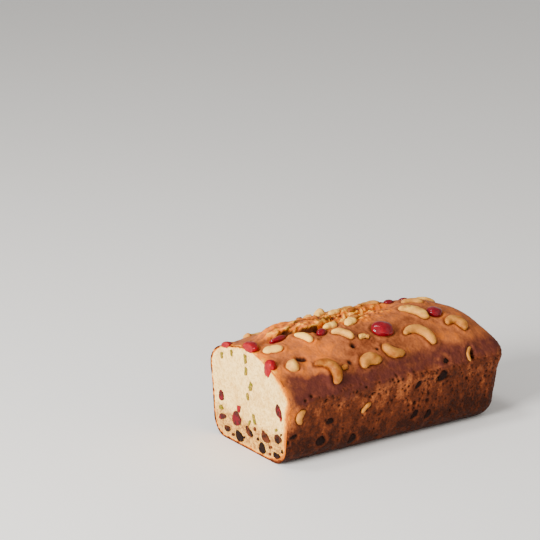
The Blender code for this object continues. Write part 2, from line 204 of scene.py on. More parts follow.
class CakeColours(bpy.types.PropertyGroup):
    """Colours of the crust, the crumb, the nuts and the fruit."""

    # Burnt and baked are also the colours of painted shade in pits, cracks, creases and along the base
    burnt: colour("Burnt", "Darkest crust, in pits and along the base", (0.030, 0.008, 0.004))
    baked: colour("Baked", "Well baked side crust", (0.140, 0.031, 0.010))
    terracotta: colour("Terracotta", "Top crust", (0.360, 0.101, 0.030))
    golden: colour("Golden", "Lightly baked crust", (0.710, 0.158, 0.005))
    torn: colour("Torn crumb", "Crumb that the crack lays open", (0.920, 0.440, 0.050))
    # Shoulder colour: partly the crust's own duller tone, partly painted sheen of the sky light on the
    # grazing shoulder
    shoulder_and_sheen: colour("Shoulder", "Dull band below the shoulder", (0.092, 0.022, 0.016))
    crumb: colour("Crumb", "Cut crumb", (0.970, 0.660, 0.235))
    crumb_low: colour("Low crumb", "Denser crumb near the base", (0.640, 0.310, 0.060))
    crumb_rim: colour("Crumb rim", "Crumb next to the crust", (0.420, 0.105, 0.008))
    nut_pale: colour("Pale cashew", "Cashew that the oven hardly browned", (0.950, 0.530, 0.100))
    nut: colour("Cashew", "Roasted cashew", (0.520, 0.208, 0.033))
    nut_toasted: colour("Toasted cashew", "Cashew toasted darker", (0.230, 0.056, 0.006))
    cherry: colour("Cherry", "Candied cherry", (0.130, 0.001, 0.007))
    cherry_bright: colour("Bright cherry", "Thin candied cherry", (0.340, 0.002, 0.005))
    raisin: colour("Raisin", "Raisin", (0.010, 0.004, 0.003))
    peel: colour("Green fruit", "Candied green fruit", (0.130, 0.115, 0.006))


class CakeStage(bpy.types.PropertyGroup):
    """Floor and lights."""

    floor: colour("Floor", "Colour of the floor", (0.93, 0.92, 0.90))
    key_light: strength("Key light", "Power of the main light", 76.0, "POWER")
    top_light: strength("Top light", "Power of the light above", 6.0, "POWER")
    fill_light: strength("Fill light", "Power of the light in front", 5.0, "POWER")
    sky: strength("Room light", "Strength of the light all round", 0.5)


# ---- The loaf's surface ----


def ease(low, high, value):
    """0 below low, 1 above high, and a smooth step between."""
    t = np.clip((value - low) / (high - low), 0.0, 1.0)
    return t * t * (3.0 - 2.0 * t)


def bump(value, middle, spread):
    """1 in the middle, falling smoothly to nothing on both sides."""
    return np.exp(-((value - middle) / spread) ** 2)


def between(value, start, full, fade, end):
    """0 up to start, 1 from full to fade, and 0 from end on."""
    return ease(start, full, value) * (1 - ease(fade, end, value))


def round_edges(points):
    """Round a box's edges and corners, apart from those of the flat cut end."""
    low = np.array([2 * CUT_X, -HALF_WIDTH + EDGE_ROUND, EDGE_ROUND])
    high = np.array([FAR_X - EDGE_ROUND, HALF_WIDTH - EDGE_ROUND, RIM_HEIGHT - RIM_ROUND])
    inner = np.clip(points, low, high)
    out = points - inner
    share = out / EDGE_ROUND
    share[:, 2] = np.where(out[:, 2] > 0, out[:, 2] / RIM_ROUND, share[:, 2])
    reach = np.abs(share).max(axis=1)
    size = np.maximum(np.linalg.norm(share, axis=1), 1e-9)
    return inner + out * (reach / size)[:, None]


def crack_across(x):
    """Where across the loaf the crack lies, at each place along it."""
    drift = CRACK_DRIFT * ease(CRACK_DRIFT_FROM, CRACK_DRIFT_TO, x)
    return CRACK_ACROSS - CRACK_BOW * bump(x, CRACK_BOW_AT, CRACK_BOW_REACH) + drift


def crack_strength(x):
    """1 along the crack, fading to 0 at both ends."""
    return between(x, CRACK_FROM, CRACK_FROM + CRACK_FADE, CRACK_TO - CRACK_FADE, CRACK_TO)


def crust_lumps(x, y):
    short = np.sin(x / LUMP_SHORT + 1.3) * np.sin(y / LUMP_SHORT + 0.4)
    return CRUST_LUMP * (short + np.sin((x - y) / LUMP_LONG))


def crust_rise(x, y):
    """Height of the domed crust above the rim."""
    from_cut = ease(CUT_X, CUT_X + CROWN_RUN, x)
    share = np.clip(y / (HALF_WIDTH + WALL_FLARE), -1.0, 1.0)
    fullness = CROWN_FULLNESS_AT_CUT + (CROWN_FULLNESS - CROWN_FULLNESS_AT_CUT) * from_cut
    across = 1.0 - np.abs(share) ** fullness
    to_end = np.clip((x - FAR_SLOPE_FROM) / (FAR_X + WALL_FLARE - FAR_SLOPE_FROM), 0.0, 1.0)
    along = 1.0 - to_end ** FAR_SLOPE_CURVE
    crown = CROWN_RISE_AT_CUT + (CROWN_RISE - CROWN_RISE_AT_CUT) * from_cut
    rise = crown * (FAR_RISE_KEPT + (1 - FAR_RISE_KEPT) * along) * across
    tilt = CROWN_TILT * share * (FAR_TILT_KEPT + (1 - FAR_TILT_KEPT) * along)
    behind = y - crack_across(x)
    crack = CRACK_DEPTH * bump(behind, 0.0, CRACK_HALF_WIDTH)
    ridge = RIDGE_RISE + FLAP_RISE * bump(x, FLAP_AT, FLAP_REACH)
    ridge = ridge * bump(behind, RIDGE_BEHIND, RIDGE_SPREAD)
    return rise + tilt + crust_lumps(x, y) + crack_strength(x) * (ridge - crack)


def loaf_surface(points):
    """Move points of the plain box to the loaf's own surface."""
    x, y, z = round_edges(points).T
    up = np.clip(z / RIM_HEIGHT, 0.0, 1.0)
    lean = WALL_FLARE * (1 - (1 - up) ** WALL_CURVE) + LIP_SWELL * bump(z, LIP_HEIGHT, LIP_SPREAD)
    y = y * (1 + lean / HALF_WIDTH)
    x = x + lean * ease(CUT_X, FAR_X, x) ** 2
    z = z + ease(DOME_FROM * RIM_HEIGHT, RIM_HEIGHT, z) * crust_rise(x, y)
    return np.stack([x, y, z], axis=1)


def surface_point(point):
    return Vector(loaf_surface(np.array([point]))[0])


def top_box_point(x, y):
    """The point of the plain box's top that ends up above (x, y)."""
    u, v = x, y
    for _ in range(8):
        found = surface_point((u, v, RIM_HEIGHT))
        u += x - found.x
        v += y - found.y
    return Vector((u, v, RIM_HEIGHT))


def frame_at(place, first, out, heading):
    """A frame with Z along out and X turned by the heading, in degrees, from first."""
    angle = math.radians(heading)
    ahead = first * math.cos(angle) + out.cross(first) * math.sin(angle)
    matrix = Matrix((ahead, out.cross(ahead), out)).transposed().to_4x4()
    matrix.translation = place
    return matrix


def surface_frame(box_point, step_a, step_b, heading, lift):
    """A frame on the loaf, raised off it by the lift, Z straight out of the crust."""
    here = surface_point(box_point)
    side_a = surface_point(box_point + step_a) - here
    side_b = surface_point(box_point + step_b) - here
    out = side_a.cross(side_b).normalized()
    return frame_at(here + out * lift * MM, side_a.normalized(), out, heading)


def on_top(x, y, heading, lift):
    """Frame on the top crust, x and y in millimetres, heading in degrees from +X."""
    along = Vector((SURFACE_STEP, 0, 0))
    across = Vector((0, SURFACE_STEP, 0))
    return surface_frame(top_box_point(x * MM, y * MM), along, across, heading, lift)


def on_wall(x, z, heading, lift, side):
    """Frame on a long wall, side -1 for the front and 1 for the back."""
    along = Vector((-side * SURFACE_STEP, 0, 0))
    up = Vector((0, 0, SURFACE_STEP))
    return surface_frame(Vector((x * MM, side * HALF_WIDTH, z * MM)), along, up, heading, lift)


def on_cut(y, z, turn):
    """Frame on the cut face, looking out along -X, X of the frame along -Y."""
    return frame_at(Vector((CUT_X, y * MM, z * MM)), Vector((0, -1, 0)), Vector((-1, 0, 0)), turn)


# ---- Mesh helpers ----


def noise_at(points, size, seed, octaves=3):
    """Smooth noise, about -1 to 1, at each point, its features about one size wide."""
    offset = Vector((7.31 * seed, 3.17 * seed, 5.73 * seed))
    return np.array([noise.fractal(Vector(p) / size + offset, 1.0, 2.0, octaves) for p in points])


def read_points(mesh):
    points = np.empty(3 * len(mesh.vertices))
    mesh.vertices.foreach_get("co", points)
    return points.reshape(-1, 3)


def write_points(mesh, points):
    mesh.vertices.foreach_set("co", points.ravel())
    mesh.update()


def read_normals(mesh):
    normals = np.empty(3 * len(mesh.vertices))
    mesh.vertices.foreach_get("normal", normals)
    return normals.reshape(-1, 3)


def write_mask(mesh, name, values):
    """Store one number for each point, for the materials to read."""
    layer = mesh.attributes.new(name, "FLOAT", "POINT")
    layer.data.foreach_set("value", np.asarray(values, dtype=np.float32))


def fill_mask(mesh, name, value):
    write_mask(mesh, name, np.full(len(mesh.vertices), value))


def deselect_all():
    if bpy.context.object and bpy.context.object.mode != "OBJECT":
        bpy.ops.object.mode_set(mode="OBJECT")
    bpy.ops.object.select_all(action="DESELECT")


def add_ball(segments, rings):
    """A new unit ball, alone selected."""
    deselect_all()
    bpy.ops.mesh.primitive_uv_sphere_add(
        segments=segments, ring_count=rings, radius=1.0, location=(0, 0, 0)
    )
    return bpy.context.object


def slice_at(plane_x):
    """Cut the piece in edit mode by the knife's plane and close the cut."""
    bpy.ops.object.mode_set(mode="EDIT")
    bpy.ops.mesh.select_all(action="SELECT")
    bpy.ops.mesh.bisect(
        plane_co=(plane_x, 0, 0), plane_no=(-1, 0, 0), use_fill=True, clear_outer=True, threshold=1e-6
    )
    bpy.ops.object.mode_set(mode="OBJECT")


def finish_piece(piece, name, look, slot, *nodes):
    """Name a piece, give it its look and tie it to the solid model."""
    piece.name = name
    piece.data.name = name
    piece.data.materials.clear()
    piece.data.materials.append(look)
    deselect_all()
    piece.select_set(True)
    bpy.context.view_layer.objects.active = piece
    bpy.ops.object.shade_smooth_by_angle(angle=math.radians(45))
    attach(piece, "root")
    if nodes:
        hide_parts(*nodes)
    piece.select_set(False)


# ---- Materials ----


class Nodes:
    """Adds and links shader nodes, from left to right."""

    def __init__(self, tree):
        self.tree = tree
        self.count = 0

    def add(self, kind, **values):
        node = self.tree.nodes.new(kind)
        node.location = (180 * self.count, 0)
        self.count += 1
        for key, value in values.items():
            setattr(node, key, value)
        return node

    def link(self, start, end):
        self.tree.links.new(start, end)

    def math(self, operation, *inputs, clamp=False):
        node = self.add("ShaderNodeMath", operation=operation, use_clamp=clamp)
        for socket, value in zip(node.inputs, inputs):
            self.feed(value, socket)
        return node.outputs[0]

    def plus(self, first, second, clamp=False):
        return self.math("ADD", first, second, clamp=clamp)

    def minus(self, first, second):
        return self.math("SUBTRACT", first, second)

    def times(self, first, second, clamp=False):
        return self.math("MULTIPLY", first, second, clamp=clamp)

    def feed(self, value, socket):
        """Link a socket, or set a number or a colour."""
        if isinstance(value, bpy.types.NodeSocket):
            self.link(value, socket)
        else:
            socket.default_value = value if isinstance(value, (int, float)) else rgba(value)

    def mix(self, share, first, second):
        node = self.add("ShaderNodeMix", data_type="RGBA")
        self.feed(share, node.inputs[0])
        self.feed(first, node.inputs[6])
        self.feed(second, node.inputs[7])
        return node.outputs[2]

    def mask(self, name):
        return self.add("ShaderNodeAttribute", attribute_name=name).outputs["Fac"]

    def spread(self, value, low, high, to_low=0.0, to_high=1.0):
        node = self.add("ShaderNodeMapRange", interpolation_type="SMOOTHSTEP")
        for socket, number in zip(node.inputs, (value, low, high, to_low, to_high)):
            self.feed(number, socket)
        return node.outputs[0]


def rgba(rgb):
    return (*rgb, 1.0)


def grain_group():
    """Node group: uneven grain at three sizes, stretched up and down by choice."""
    found = bpy.data.node_groups.get("food_grain")
    if found:
        return found
    tree = bpy.data.node_groups.new("food_grain", "ShaderNodeTree")
    tree.interface.new_socket("Size", in_out="INPUT", socket_type="NodeSocketFloat").default_value = 0.004
    tree.interface.new_socket("Stretch", in_out="INPUT", socket_type="NodeSocketFloat").default_value = 1.0
    for name in ("Patches", "Grain", "Pores"):
        tree.interface.new_socket(name, in_out="OUTPUT", socket_type="NodeSocketFloat")
    n = Nodes(tree)
    start = n.add("NodeGroupInput")
    place = n.add("ShaderNodeTexCoord").outputs["Object"]
    parts = n.add("ShaderNodeSeparateXYZ")
    n.link(place, parts.inputs[0])
    joined = n.add("ShaderNodeCombineXYZ")
    n.link(parts.outputs[0], joined.inputs[0])
    n.link(parts.outputs[1], joined.inputs[1])
    n.link(n.math("DIVIDE", parts.outputs[2], start.outputs["Stretch"]), joined.inputs[2])
    scaled = n.add("ShaderNodeVectorMath", operation="SCALE")
    n.link(joined.outputs[0], scaled.inputs[0])
    n.link(n.math("DIVIDE", 1.0, start.outputs["Size"]), scaled.inputs["Scale"])
    end = n.add("NodeGroupOutput")
    for name, scale, detail in (("Patches", 0.3, 3.0), ("Grain", 1.0, 5.0)):
        texture = n.add("ShaderNodeTexNoise")
        texture.inputs["Scale"].default_value = scale
        texture.inputs["Detail"].default_value = detail
        n.link(scaled.outputs[0], texture.inputs["Vector"])
        n.link(texture.outputs[0], end.inputs[name])
    cells = n.add("ShaderNodeTexVoronoi")
    cells.inputs["Scale"].default_value = 2.2
    n.link(scaled.outputs[0], cells.inputs["Vector"])
    pores = n.spread(cells.outputs["Distance"], 0.10, 0.42, 1.0, 0.0)
    n.link(pores, end.inputs["Pores"])
    return tree


def new_material(name, roughness, specular=0.5):
    """An empty material: its node helper and its Principled shader."""
    made = bpy.data.materials.new(name)
    made.use_nodes = True
    shader = made.node_tree.nodes["Principled BSDF"]
    shader.inputs["Roughness"].default_value = roughness
    shader.inputs["Specular IOR Level"].default_value = specular
    return made, Nodes(made.node_tree), shader


def add_grain(n, size, stretch=1.0):
    group = n.add("ShaderNodeGroup", node_tree=grain_group())
    group.inputs["Size"].default_value = size
    group.inputs["Stretch"].default_value = stretch
    return group.outputs


def add_bump(n, shader, height, distance):
    node = n.add("ShaderNodeBump")
    node.inputs["Strength"].default_value = 1.0
    node.inputs["Distance"].default_value = distance
    n.link(height, node.inputs["Height"])
    n.link(node.outputs[0], shader.inputs["Normal"])


def crust_material(colours):
    """Baked crust: its tone, its bands and the painted shade of its pits and cracks come from the mesh, its
    mottling from noise.
    """
    made, n, shader = new_material("baked_crust", 0.55, 0.06)
    fine = add_grain(n, 0.0016)
    broad = add_grain(n, 0.0060, 1.8)
    side = n.mask("side")
    sway = n.minus(broad["Grain"], 0.5)
    speck = n.minus(fine["Grain"], 0.5)
    uneven = n.plus(n.times(side, 0.38), 0.42)
    tone = n.plus(n.mask("tone"), n.times(sway, uneven))
    tone = n.plus(tone, n.times(speck, n.times(uneven, 0.7)))
    ramp = n.add("ShaderNodeValToRGB")
    stops = ((0.0, colours.burnt), (0.3, colours.baked), (0.52, colours.terracotta), (0.76, colours.golden),
             (1.0, colours.torn))
    steps = ramp.color_ramp.elements
    steps[0].position, steps[0].color = stops[0][0], rgba(stops[0][1])
    steps[1].position, steps[1].color = stops[-1][0], rgba(stops[-1][1])
    for place, rgb in stops[1:-1]:
        steps.new(place).color = rgba(rgb)
    n.link(tone, ramp.inputs[0])
    # The shoulder band: partly a duller crust, partly painted sheen
    blotch = n.times(n.mask("shoulder"), n.spread(fine["Patches"], 0.3, 0.6, 0.82, 1.0))
    shade = n.mix(blotch, ramp.outputs[0], colours.shoulder_and_sheen)
    # Painted shade: the side crust's small pores, and the mesh's dark mask (painted shade in pits, cracks
    # and creases, besides raisin stains), mix towards baked and then burnt
    holes = n.times(n.times(fine["Pores"], side), 0.35)
    dark = n.math("MAXIMUM", n.mask("dark"), holes, clamp=True)
    shade = n.mix(n.spread(dark, 0.0, 0.7, 0.0, 0.9), shade, colours.baked)
    shade = n.mix(n.spread(dark, 0.15, 0.85), shade, colours.burnt)
    n.link(shade, shader.inputs["Base Color"])
    n.link(n.spread(fine["Grain"], 0.3, 0.7, 0.42, 0.62), shader.inputs["Roughness"])
    relief = n.minus(fine["Grain"], n.times(holes, 1.5))
    add_bump(n, shader, relief, 0.00035)
    return made


def crumb_material(colours):
    """Cut crumb: creamy, porous with painted shade in its pores, denser near the base and orange next to the
    crust.
    """
    made, n, shader = new_material("cut_crumb", 0.9, 0.0)
    fine = add_grain(n, 0.0011)
    broad = add_grain(n, 0.0034)
    sway = n.minus(broad["Grain"], 0.5)
    low = n.plus(n.mask("low"), n.times(sway, 0.9))
    shade = n.mix(n.spread(low, 0.2, 0.9, 0.0, 0.85), colours.crumb, colours.crumb_low)
    shade = n.mix(n.spread(broad["Patches"], 0.45, 0.70, 0.0, 0.35), shade, colours.crumb_low)
    # Flecks are the crumb's own specks; the pores are painted with shade, in the dull colour
    flecks = n.spread(fine["Grain"], 0.54, 0.64, 0.0, 0.9)
    flecks_and_pore_shade = n.math("MAXIMUM", flecks, n.spread(broad["Pores"], 0.5, 1.0, 0.0, 0.8))
    flecks_and_pore_shade = n.math("MAXIMUM", n.mask("pore"), flecks_and_pore_shade)
    flecks_and_pore_shade = n.times(flecks_and_pore_shade, n.spread(low, 0.2, 0.9, 0.8, 1.0), clamp=True)
    dull = n.mix(0.3, colours.crumb_low, colours.peel)
    dull = n.mix(n.spread(low, 0.3, 0.9), dull, colours.baked)
    shade = n.mix(n.times(flecks_and_pore_shade, 0.9), shade, dull)
    rim = n.plus(n.mask("rim"), n.times(n.minus(fine["Grain"], 0.5), 0.5))
    shade = n.mix(n.spread(rim, 0.05, 0.4), shade, n.mix(0.35, colours.torn, colours.golden))
    shade = n.mix(n.spread(rim, 0.3, 0.7), shade, colours.crumb_rim)
    shade = n.mix(n.spread(rim, 0.8, 1.1), shade, colours.baked)
    shade = n.mix(n.spread(rim, 1.0, 1.5, 0.0, 0.8), shade, colours.burnt)
    n.link(shade, shader.inputs["Base Color"])
    add_bump(n, shader, fine["Grain"], 0.00025)
    return made


def nut_material(colours):
    """Roasted cashew, its toasting stored on each nut."""
    made, n, shader = new_material("roasted_cashew", 0.5, 0.1)
    fine = add_grain(n, 0.0012)
    broad = add_grain(n, 0.0050)
    sway = n.minus(broad["Grain"], 0.5)
    toast = n.plus(n.mask("toast"), n.times(sway, 0.8))
    shade = n.mix(n.spread(toast, 0.0, 0.5), colours.nut_pale, colours.nut)
    shade = n.mix(n.spread(toast, 0.5, 1.0), shade, colours.nut_toasted)
    shade = n.mix(n.mask("spot"), shade, colours.baked)
    n.link(shade, shader.inputs["Base Color"])
    shader.inputs["Subsurface Weight"].default_value = 0.08
    shader.inputs["Subsurface Radius"].default_value = (0.003, 0.0015, 0.0007)
    shader.inputs["Subsurface Scale"].default_value = 1.0
    add_bump(n, shader, fine["Grain"], 0.0001)
    return made


def cherry_material(colours):
    """Candied cherry: deep red, wet and a little see-through."""
    made, n, shader = new_material("candied_cherry", 0.3, 0.08)
    broad = add_grain(n, 0.0026)
    sway = n.minus(broad["Grain"], 0.5)
    bright = n.plus(n.mask("toast"), n.times(sway, 1.6))
    shade = n.mix(n.plus(bright, 0.0, clamp=True), colours.cherry, colours.cherry_bright)
    spots = n.spread(broad["Grain"], 0.42, 0.58, 1.0, 0.1)
    deep = n.times(n.spread(n.mask("toast"), -0.5, 0.0, 0.9, 0.0), spots)
    shade = n.mix(deep, shade, colours.burnt)
    n.link(shade, shader.inputs["Base Color"])
    n.link(n.mask("wet"), shader.inputs["Coat Weight"])
    shader.inputs["Coat Roughness"].default_value = 0.06
    shader.inputs["Coat IOR"].default_value = 1.33
    shader.inputs["Subsurface Weight"].default_value = 0.1
    shader.inputs["Subsurface Radius"].default_value = (0.006, 0.0006, 0.0006)
    shader.inputs["Subsurface Scale"].default_value = 1.0
    add_bump(n, shader, broad["Grain"], 0.00006)
    return made


def raisin_material(colours):
    """Dark, slightly shiny dried fruit."""
    made, n, shader = new_material("dried_raisin", 0.6, 0.06)
    fine = add_grain(n, 0.0014)
    shade = n.mix(n.spread(fine["Grain"], 0.5, 0.9), colours.raisin, colours.burnt)
    brown = n.times(n.mask("toast"), n.spread(fine["Patches"], 0.4, 0.6))
    shade = n.mix(brown, shade, colours.baked)
    n.link(shade, shader.inputs["Base Color"])
    add_bump(n, shader, fine["Grain"], 0.0003)
    return made


def peel_material(colours):
    """Green candied fruit in the crumb."""
    made, n, shader = new_material("candied_green_fruit", 0.55, 0.05)
    fine = add_grain(n, 0.0012)
    shade = n.mix(n.spread(fine["Grain"], 0.4, 0.8, 0.0, 0.6), colours.peel, colours.crumb_low)
    n.link(shade, shader.inputs["Base Color"])
    add_bump(n, shader, fine["Grain"], 0.0002)
    return made


MATERIAL_MAKERS = {
    "baked_crust": crust_material,
    "cut_crumb": crumb_material,
    "roasted_cashew": nut_material,
    "candied_cherry": cherry_material,
    "dried_raisin": raisin_material,
    "candied_green_fruit": peel_material,
}


def material(name):
    """The named material, made on first use."""
    return bpy.data.materials.get(name) or MATERIAL_MAKERS[name](bpy.context.scene.cake_colours)


# ---- Nuts and fruit ----


def crescent_points(ball, size, bend):
    """Bend a unit ball, its poles at the ends, into a cashew, size in millimetres."""
    long, wide, high = np.array(size) * MM
    turn = math.radians(bend)
    arc_radius = (long - wide) / turn
    sag = arc_radius * (1 - math.cos(turn / 2)) / 2
    stretch = 1 + wide / 2 / (arc_radius * turn / 2)
    x, y, z = ball.T
    ring = np.maximum(np.hypot(x, y), TOUCH)
    place = np.arctan2(z, ring) / (math.pi / 2)
    out, rise = x / ring, y / ring
    full = np.sqrt(np.maximum(1 - np.abs(place) ** NUT_END, 0.0)) * (1 + NUT_FULLER * place)
    full *= 1 - NUT_SEAM_DEPTH * bump(rise, 0.0, NUT_SEAM_WIDTH) * (out > 0)
    angle = turn / 2 * place * stretch
    reach = arc_radius + out * full * wide / 2
    return np.stack([
        reach * np.sin(angle), reach * np.cos(angle) - arc_radius + sag, rise * full * high / 2
    ], axis=1)


def blob_points(ball, size, folds):
    """A round fruit with shallow folds, size in millimetres."""
    x, y, z = ball.T
    size = np.array(size) * MM
    dent = 1 + folds * np.hypot(x, y) * np.sin(3 * np.arctan2(y, x) + 4 * z + size[0] / MM)
    return ball * dent[:, None] * size / 2


def place_points(points, matrix):
    """Move points by a frame of the loaf into the solid model's frame, and keep them within its box across
    and up.
    """
    placed = points @ np.array(matrix.to_3x3()).T + np.array(matrix.translation + SHIFT)
    low, high = np.array(CAD_BOX)
    placed[:, 1:] = np.clip(placed[:, 1:], low[1:], high[1:])
    return placed


def add_cashew(number, matrix, size, bend, toast, lift, brown_spot=None):
    """One cashew in place of its solid, size and lift in millimetres."""
    piece = add_ball(28, 26)
    mesh = piece.data
    local = crescent_points(read_points(mesh), size, bend)
    write_points(mesh, local)
    wobble = 0.45 * MM * noise_at(local, 4.5 * MM, number, 2) + 0.06 * MM * noise_at(local, 1.2 * MM, number)
    local = local + read_normals(mesh) * (wobble - 0.12 * MM)[:, None]
    # Toasting and painted shade low on the nut, where it meets the crust
    browned_and_shaded_edge = 0.12 * (1 - ease(-0.5, 2.2, local[:, 2] / MM + lift))
    write_points(mesh, place_points(local, matrix))
    mark = np.zeros(len(local))
    if brown_spot:
        middle = np.array([*brown_spot, size[2] / 2]) * MM
        mark = bump(np.linalg.norm(local - middle, axis=1), 0.0, 1.1 * MM)
    write_mask(mesh, "toast", np.clip(toast + browned_and_shaded_edge, 0.0, 1.0))
    write_mask(mesh, "spot", mark)
    name = f"cashew_{number:02d}"
    finish_piece(piece, "fine_" + name, material("roasted_cashew"), "cashew", name)


def add_fruit(kind, number, matrix, size, folds, toast=0.0, sliced=False, wrinkle=0.3, wet=0.1):
    """One cherry or raisin in place of its solid, size in millimetres."""
    piece = add_ball(30, 22)
    mesh = piece.data
    local = blob_points(read_points(mesh), size, folds)
    write_points(mesh, local)
    wobble = np.abs(noise_at(local, 2.6 * MM, 31 + number)) * -wrinkle * MM * 2
    local = local + read_normals(mesh) * wobble[:, None]
    write_points(mesh, place_points(local, matrix))
    if sliced:
        slice_at(CUT_X + SHIFT.x + FRUIT_RECESS)
    fill_mask(mesh, "toast", toast)
    fill_mask(mesh, "wet", wet)
    look = {"cherry": "candied_cherry", "raisin": "dried_raisin"}[kind]
    name = f"{kind}_{number:02d}"
    finish_piece(piece, "fine_" + name, material(look), kind, name)


# Where everything lies and how large it is: places and sizes in millimetres, turns in degrees.
# Toasting and brightness go from 0 to 1; below 0 is paler than the palest nut, or deeper red.
TOP_CASHEWS = (
    # number, along, across, heading, (length, width, height), bend, lift, pitch, toasting
    (1, -76.2, -28.0, 52, (12, 9.2, 8.2), 20, -1.4, -50, 0.3),
    (2, -52.5, -37.5, -74, (29, 7.4, 6.4), 140, 0.8, 0, 0.85),
    (3, -79, -9, -20, (14, 7.6, 4.2), 30, 0.5, 0, -0.1),
    (4, -53, -8, -62, (14.5, 5.6, 5.2), 60, 0.2, 0, 0.0),
    (5, -27, -16, -48, (17.5, 5.6, 5.8), 70, 0.7, 0, 0.3),
    (6, -29.8, -4.6, 8, (12.0, 6.4, 5.6), 60, 0.2, 0, -0.1),
    (7, -13, -5, 24, (12, 7.0, 5.0), 40, 0.4, 0, 0.05),
    (8, -20.9, -37.6, 4, (18.5, 9.2, 6.6), 90, 0.4, 0, 0.65),
    (9, 0, -36.5, 148, (18.5, 8.0, 6.2), 80, 0.5, 0, 0.75),
    (10, 29, -28, -37, (31, 7.0, 6.4), 130, 0.8, 0, 0.5),
    (11, 39, -8.5, -48, (24, 8.4, 6.6), 70, 0.5, 0, 0.35),
    (12, 63, -25, -36, (21, 8.4, 6.0), 130, 0.4, 0, 0.7),
    (13, -23, 17, 30, (12.5, 7.6, 7.4), 50, -0.6, -25, 0.15),
    (14, -13, 14, 10, (11, 5.4, 4.6), 50, 0.2, 0, 0.2),
    (15, 1, 22, 14, (18, 6.8, 5.2), 70, -0.4, 0, 0.3),
    (16, 23, 22, -10, (16, 6.4, 5.0), 60, -0.6, 0, 0.4),
    (17, 50, 8, -24, (18, 6.8, 5.2), 80, -0.4, 0, 0.4),
    (18, -62, 40, 20, (22, 7.8, 6.8), 110, 0.4, 0, 0.3),
    (19, -35, 42, -15, (21, 7.6, 6.8), 130, 0.4, 0, 0.6),
    (20, 15, 42, 172, (23, 7.8, 6.8), 120, 0.4, 0, 0.3),
    (21, 44, 40, 24, (22, 8.2, 6.8), 140, 0.4, 0, 0.5),
    (22, 79, 31, 110, (19, 7.6, 6.4), 90, 0.2, 0, 0.3),
)
BROWN_SPOTS = {11: (-4.0, 0.5)}         # on the nut of that number
WALL_CASHEWS = (
    # number, along, up, heading, (length, width, height), bend, lift
    (23, -81.6, 34.3, 78, (13.0, 5.4, 4.6), 110, -0.5),
    (24, -28.0, 30.3, 40, (10.0, 3.8, 3.0), 40, -0.5),
    (25, 55.6, 54.0, 70, (12.0, 3.2, 3.0), 70, -0.8),
)
WALL_CASHEW_TOAST = 0.6
TOP_CHERRIES = (
    # number, along, across, heading, (length, width, height), lift, brightness
    (1, 3, -20, -20, (16.2, 13.6, 10.0), 1.0, 0.2),
    (2, 53.5, -12.5, -12, (12.0, 9.8, 7.6), 0.5, 0.1),
    (3, -39.3, -8.8, 20, (9.2, 6.4, 5.4), 0.1, 0.0),
    (4, -68.5, 0.5, 8, (14.6, 8.0, 5.0), -0.3, 0.2),
    (5, 38, 19, 10, (9.0, 7.0, 4.8), -0.4, 0.0),
    (6, -11, 42, 30, (14.5, 12.0, 8.0), 0.4, 0.0),
    (7, 65, 37, 15, (11.5, 10.0, 7.0), 0.2, 0.0),
)
EDGE_CHERRIES = (
    # on the top too, with one side cut off by the knife
    (8, -88.5, 2.5, 80, (16.0, 10.0, 7.4), 0.3, 0.5),
    (9, -89, -21.5, 96, (10.0, 8.4, 15.0), -3.0, 0.5),
    (10, -90, 29.5, 80, (11.0, 7.0, 4.6), 0.0, 0.6),
)
CUT_CHERRIES = (
    # number, across, up, turn, (length, width, depth), folds
    (11, 34.4, 28.2, 92, (7.8, 6.2, 7.0), 0.05),
    (12, 33.0, 13.7, 20, (9.0, 4.4, 6.0), 0.08),
    (13, 15.6, 17.2, 40, (11.0, 10.4, 8.0), 0.06),
    (14, -33.6, 37.0, 118, (9.6, 6.2, 7.0), 0.07),
)
TOP_CHERRY_FOLDS = 0.05
CUT_CHERRY_TOAST = -0.45
CUT_RAISINS = (
    # number, across, up, turn, (length, width, depth), folds, brownness
    (1, 27.0, 6.8, 0, (7.4, 4.4, 5.0), 0.10, 0.5),
    (2, 12.3, 5.6, 150, (9.8, 7.0, 6.0), 0.10, 0.0),
    (3, 0.6, 12.4, 150, (9.4, 5.4, 6.0), 0.12, 0.7),
    (4, -18.4, 14.4, 150, (10.0, 6.6, 6.0), 0.12, 0.6),
    (5, -33.1, 17.7, 10, (8.2, 6.6, 6.0), 0.08, 0.4),
    (6, -15.0, 5.6, 100, (8.2, 7.6, 7.0), 0.10, 0.0),
    (7, -31.6, 5.6, 0, (8.0, 4.4, 5.0), 0.10, 0.2),
)
WALL_RAISINS = (
    # number, along, up, turn, (length, width, depth), wall: -1 in front, 1 behind
    (8, -86.0, 21.2, 4, (8.0, 4.4, 4.0), -1),
    (9, -63.5, 13.6, 20, (9.0, 8.2, 5.0), -1),
    (10, -57.0, 26.4, 10, (7.6, 5.0, 4.4), -1),
    (11, -37.5, 9.6, 60, (9.0, 6.4, 5.0), -1),
    (12, 32.5, 41.5, 50, (9.6, 7.4, 6.0), -1),
    (13, 13.7, 38.5, 60, (8.4, 4.6, 4.4), -1),
    (14, 13.6, 16.8, 48, (9.6, 5.0, 4.6), -1),
    (15, 25.0, 14.4, 48, (9.6, 5.0, 4.6), -1),
    (16, 36.0, 53.5, 0, (6.4, 5.4, 4.0), -1),
    (17, -52.0, 20.0, 30, (9.0, 7.0, 5.0), 1),
    (18, -6.0, 36.0, 60, (8.4, 5.6, 4.6), 1),
    (19, 44.0, 17.0, 10, (9.4, 6.4, 5.0), 1),
)
